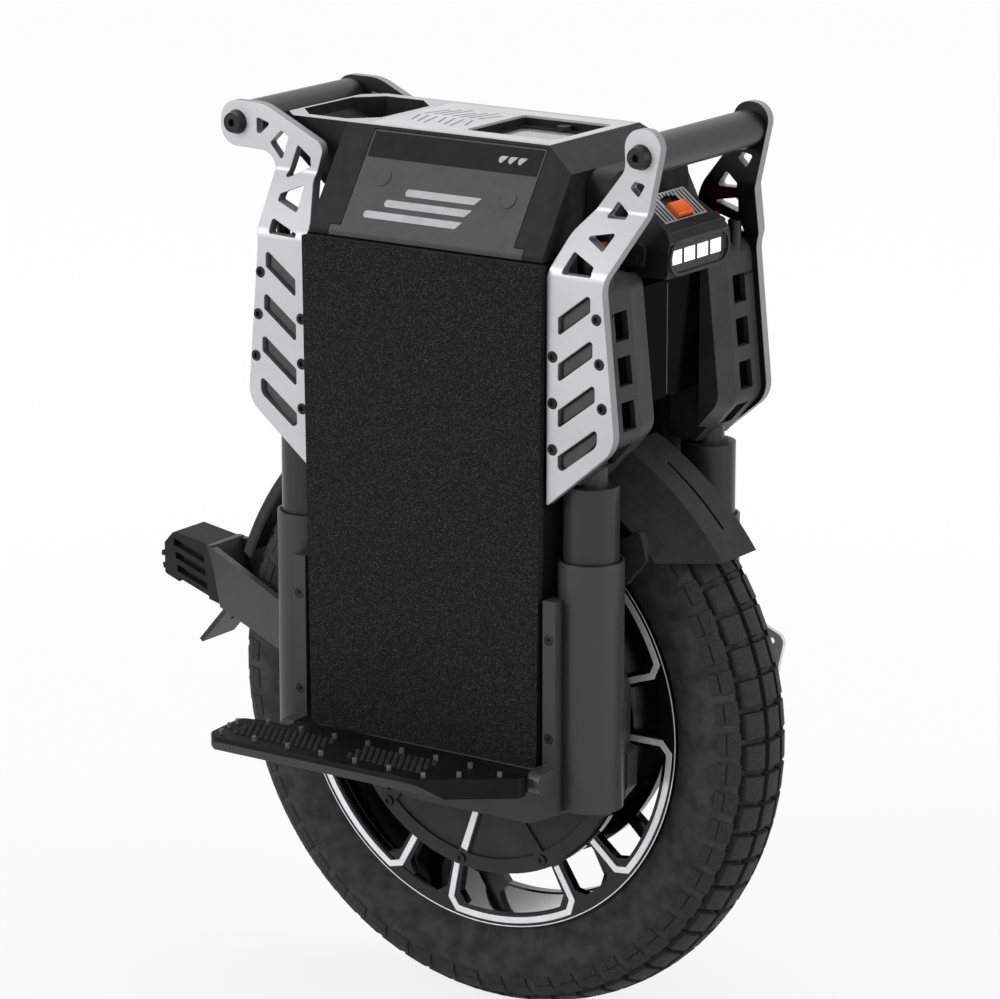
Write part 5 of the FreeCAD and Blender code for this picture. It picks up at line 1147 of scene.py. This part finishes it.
# %% Trim the window and the brow
WINDOW_HALF, TRIM_OUTER_R, TRIM_INNER_R = 29.5, 14.2, 11.7
TRIM_BACK, TRIM_THICK = 0.2, 0.0016
BROW_END = SLOPE_TOP + DOWN_SLOPE * 0.0298
BROW_BENDS = ((0.2, 0.0, 37.4), (8.1, 4.6, 39.6), (12.1, 11.6, 42.4))
BROW_SECTION = corners(-0.0006, 0.0004, -0.0006, 0.0004)


def window_rim(r):
    """Rounded outline about the lamp's window, as y and z."""
    turns = [math.radians(18 * i) for i in range(11)]
    left = [(WINDOW_HALF + r * math.sin(a), LED_Z - r * math.cos(a)) for a in turns]
    right = [(-WINDOW_HALF - r * math.sin(a), LED_Z + r * math.cos(a)) for a in turns]
    return left + right


def window_trim():
    stock = Stock()
    outer, inner = window_rim(TRIM_OUTER_R), window_rim(TRIM_INNER_R)
    count = len(outer)
    for i in range(count):
        j = (i + 1) % count
        loop = [spot(LAMP_FACE - TRIM_BACK, *p) for p in (outer[i], outer[j], inner[j], inner[i])]
        stock.prism(loop, (TRIM_THICK, 0, 0))
    add_piece("lamp_window_trim", stock, "headlamp", "lamp", material=finishes["bracket"])


def brow_painted_highlights():
    """Painted highlights: light strips across the brow. A bend is so far ahead of the slope's end, so low and half
    so wide.
    """
    stock = Stock()
    for ahead, drop, half in BROW_BENDS:
        centre = BROW_END + Vector((ahead / 1000, 0, -drop / 1000))
        loop = [centre + Vector((a, -half / 1000, b)) for a, b in BROW_SECTION]
        stock.prism(loop, (0, 2 * half / 1000, 0))
    add_piece("lamp_brow_painted_highlights", stock, "headlamp", "lamp", material=finishes["hatch"])


window_trim()
brow_painted_highlights()

# %% [markdown]
# ## Front panel
# Between the fork brackets the panel is polished black. A thin light strip down the middle is
# a painted highlight for the light along the panel's edge.

# %% Lay the panel's painted highlight
HIGHLIGHT_X, HIGHLIGHT_HALF, HIGHLIGHT_LOW, HIGHLIGHT_HIGH, HIGHLIGHT_THICK = 149.9, 0.6, 531, 620, 0.0005


def panel_painted_highlight():
    stock = Stock()
    # Painted highlight: a thin light strip down the panel.
    around = corners(-HIGHLIGHT_HALF, HIGHLIGHT_HALF, HIGHLIGHT_LOW, HIGHLIGHT_HIGH)
    stock.prism([spot(HIGHLIGHT_X, y, z) for y, z in around], (HIGHLIGHT_THICK, 0, 0))
    add_piece("panel_painted_highlight", stock, "chassis", "gloss_panel", material=finishes["hatch"])


panel_painted_highlight()

# %% [markdown]
# ## Pedals
# Two knurled fields on each pedal hold the sole between the studs. Each point is a small
# pyramid with a flat top. A field is dozens of them, cut from one formula. Shoes rub the studs
# bright, so these get a lighter steel than the other screws.

# %% Knurl the pedals
STUD_TALL = 4.0
KNURL_FIELDS = ((-138, -50), (-26, 50))
KNURL_STEP, KNURL_ROWS, KNURL_ROW_STEP, KNURL_FIRST_Y = 6.0, 6, 5.4, 161
POINT_FOOT = ((-2.6, 0), (0, -2.6), (2.6, 0), (0, 2.6))
POINT_TALL, POINT_TAPER, POINT_ROOT = 2.0, 0.6, 0.1


def knurl(side, body, name):
    stock = Stock()
    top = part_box("pedal_studs_left")[1].z * 1000 - STUD_TALL
    for x0, x1 in KNURL_FIELDS:
        for i in range(int((x1 - x0) / KNURL_STEP)):
            for j in range(KNURL_ROWS):
                x = x0 + KNURL_STEP * i + (KNURL_STEP / 2 if j % 2 else 0)
                y = KNURL_FIRST_Y + KNURL_ROW_STEP * j
                low = [spot(x + a, side * (y + b), top - POINT_ROOT) for a, b in POINT_FOOT]
                high = [spot(x + a * POINT_TAPER, side * (y + b * POINT_TAPER), top + POINT_TALL)
                        for a, b in POINT_FOOT]
                stock.rings([low, high])
    add_piece(name, stock, body, "pedal", material=finishes["guard"])


knurl(1, "left_pedal", "pedal_knurl_left")
knurl(-1, "right_pedal", "pedal_knurl_right")
worn = finish("worn_stud", tone(96), tone(118), (0.3, 0.45), metal=0.4, gloss=0.3)
for studs in ("pedal_studs_left", "pedal_studs_right"):
    frame["nodes"][studs].data.materials[0] = worn
print("studs worn bright")
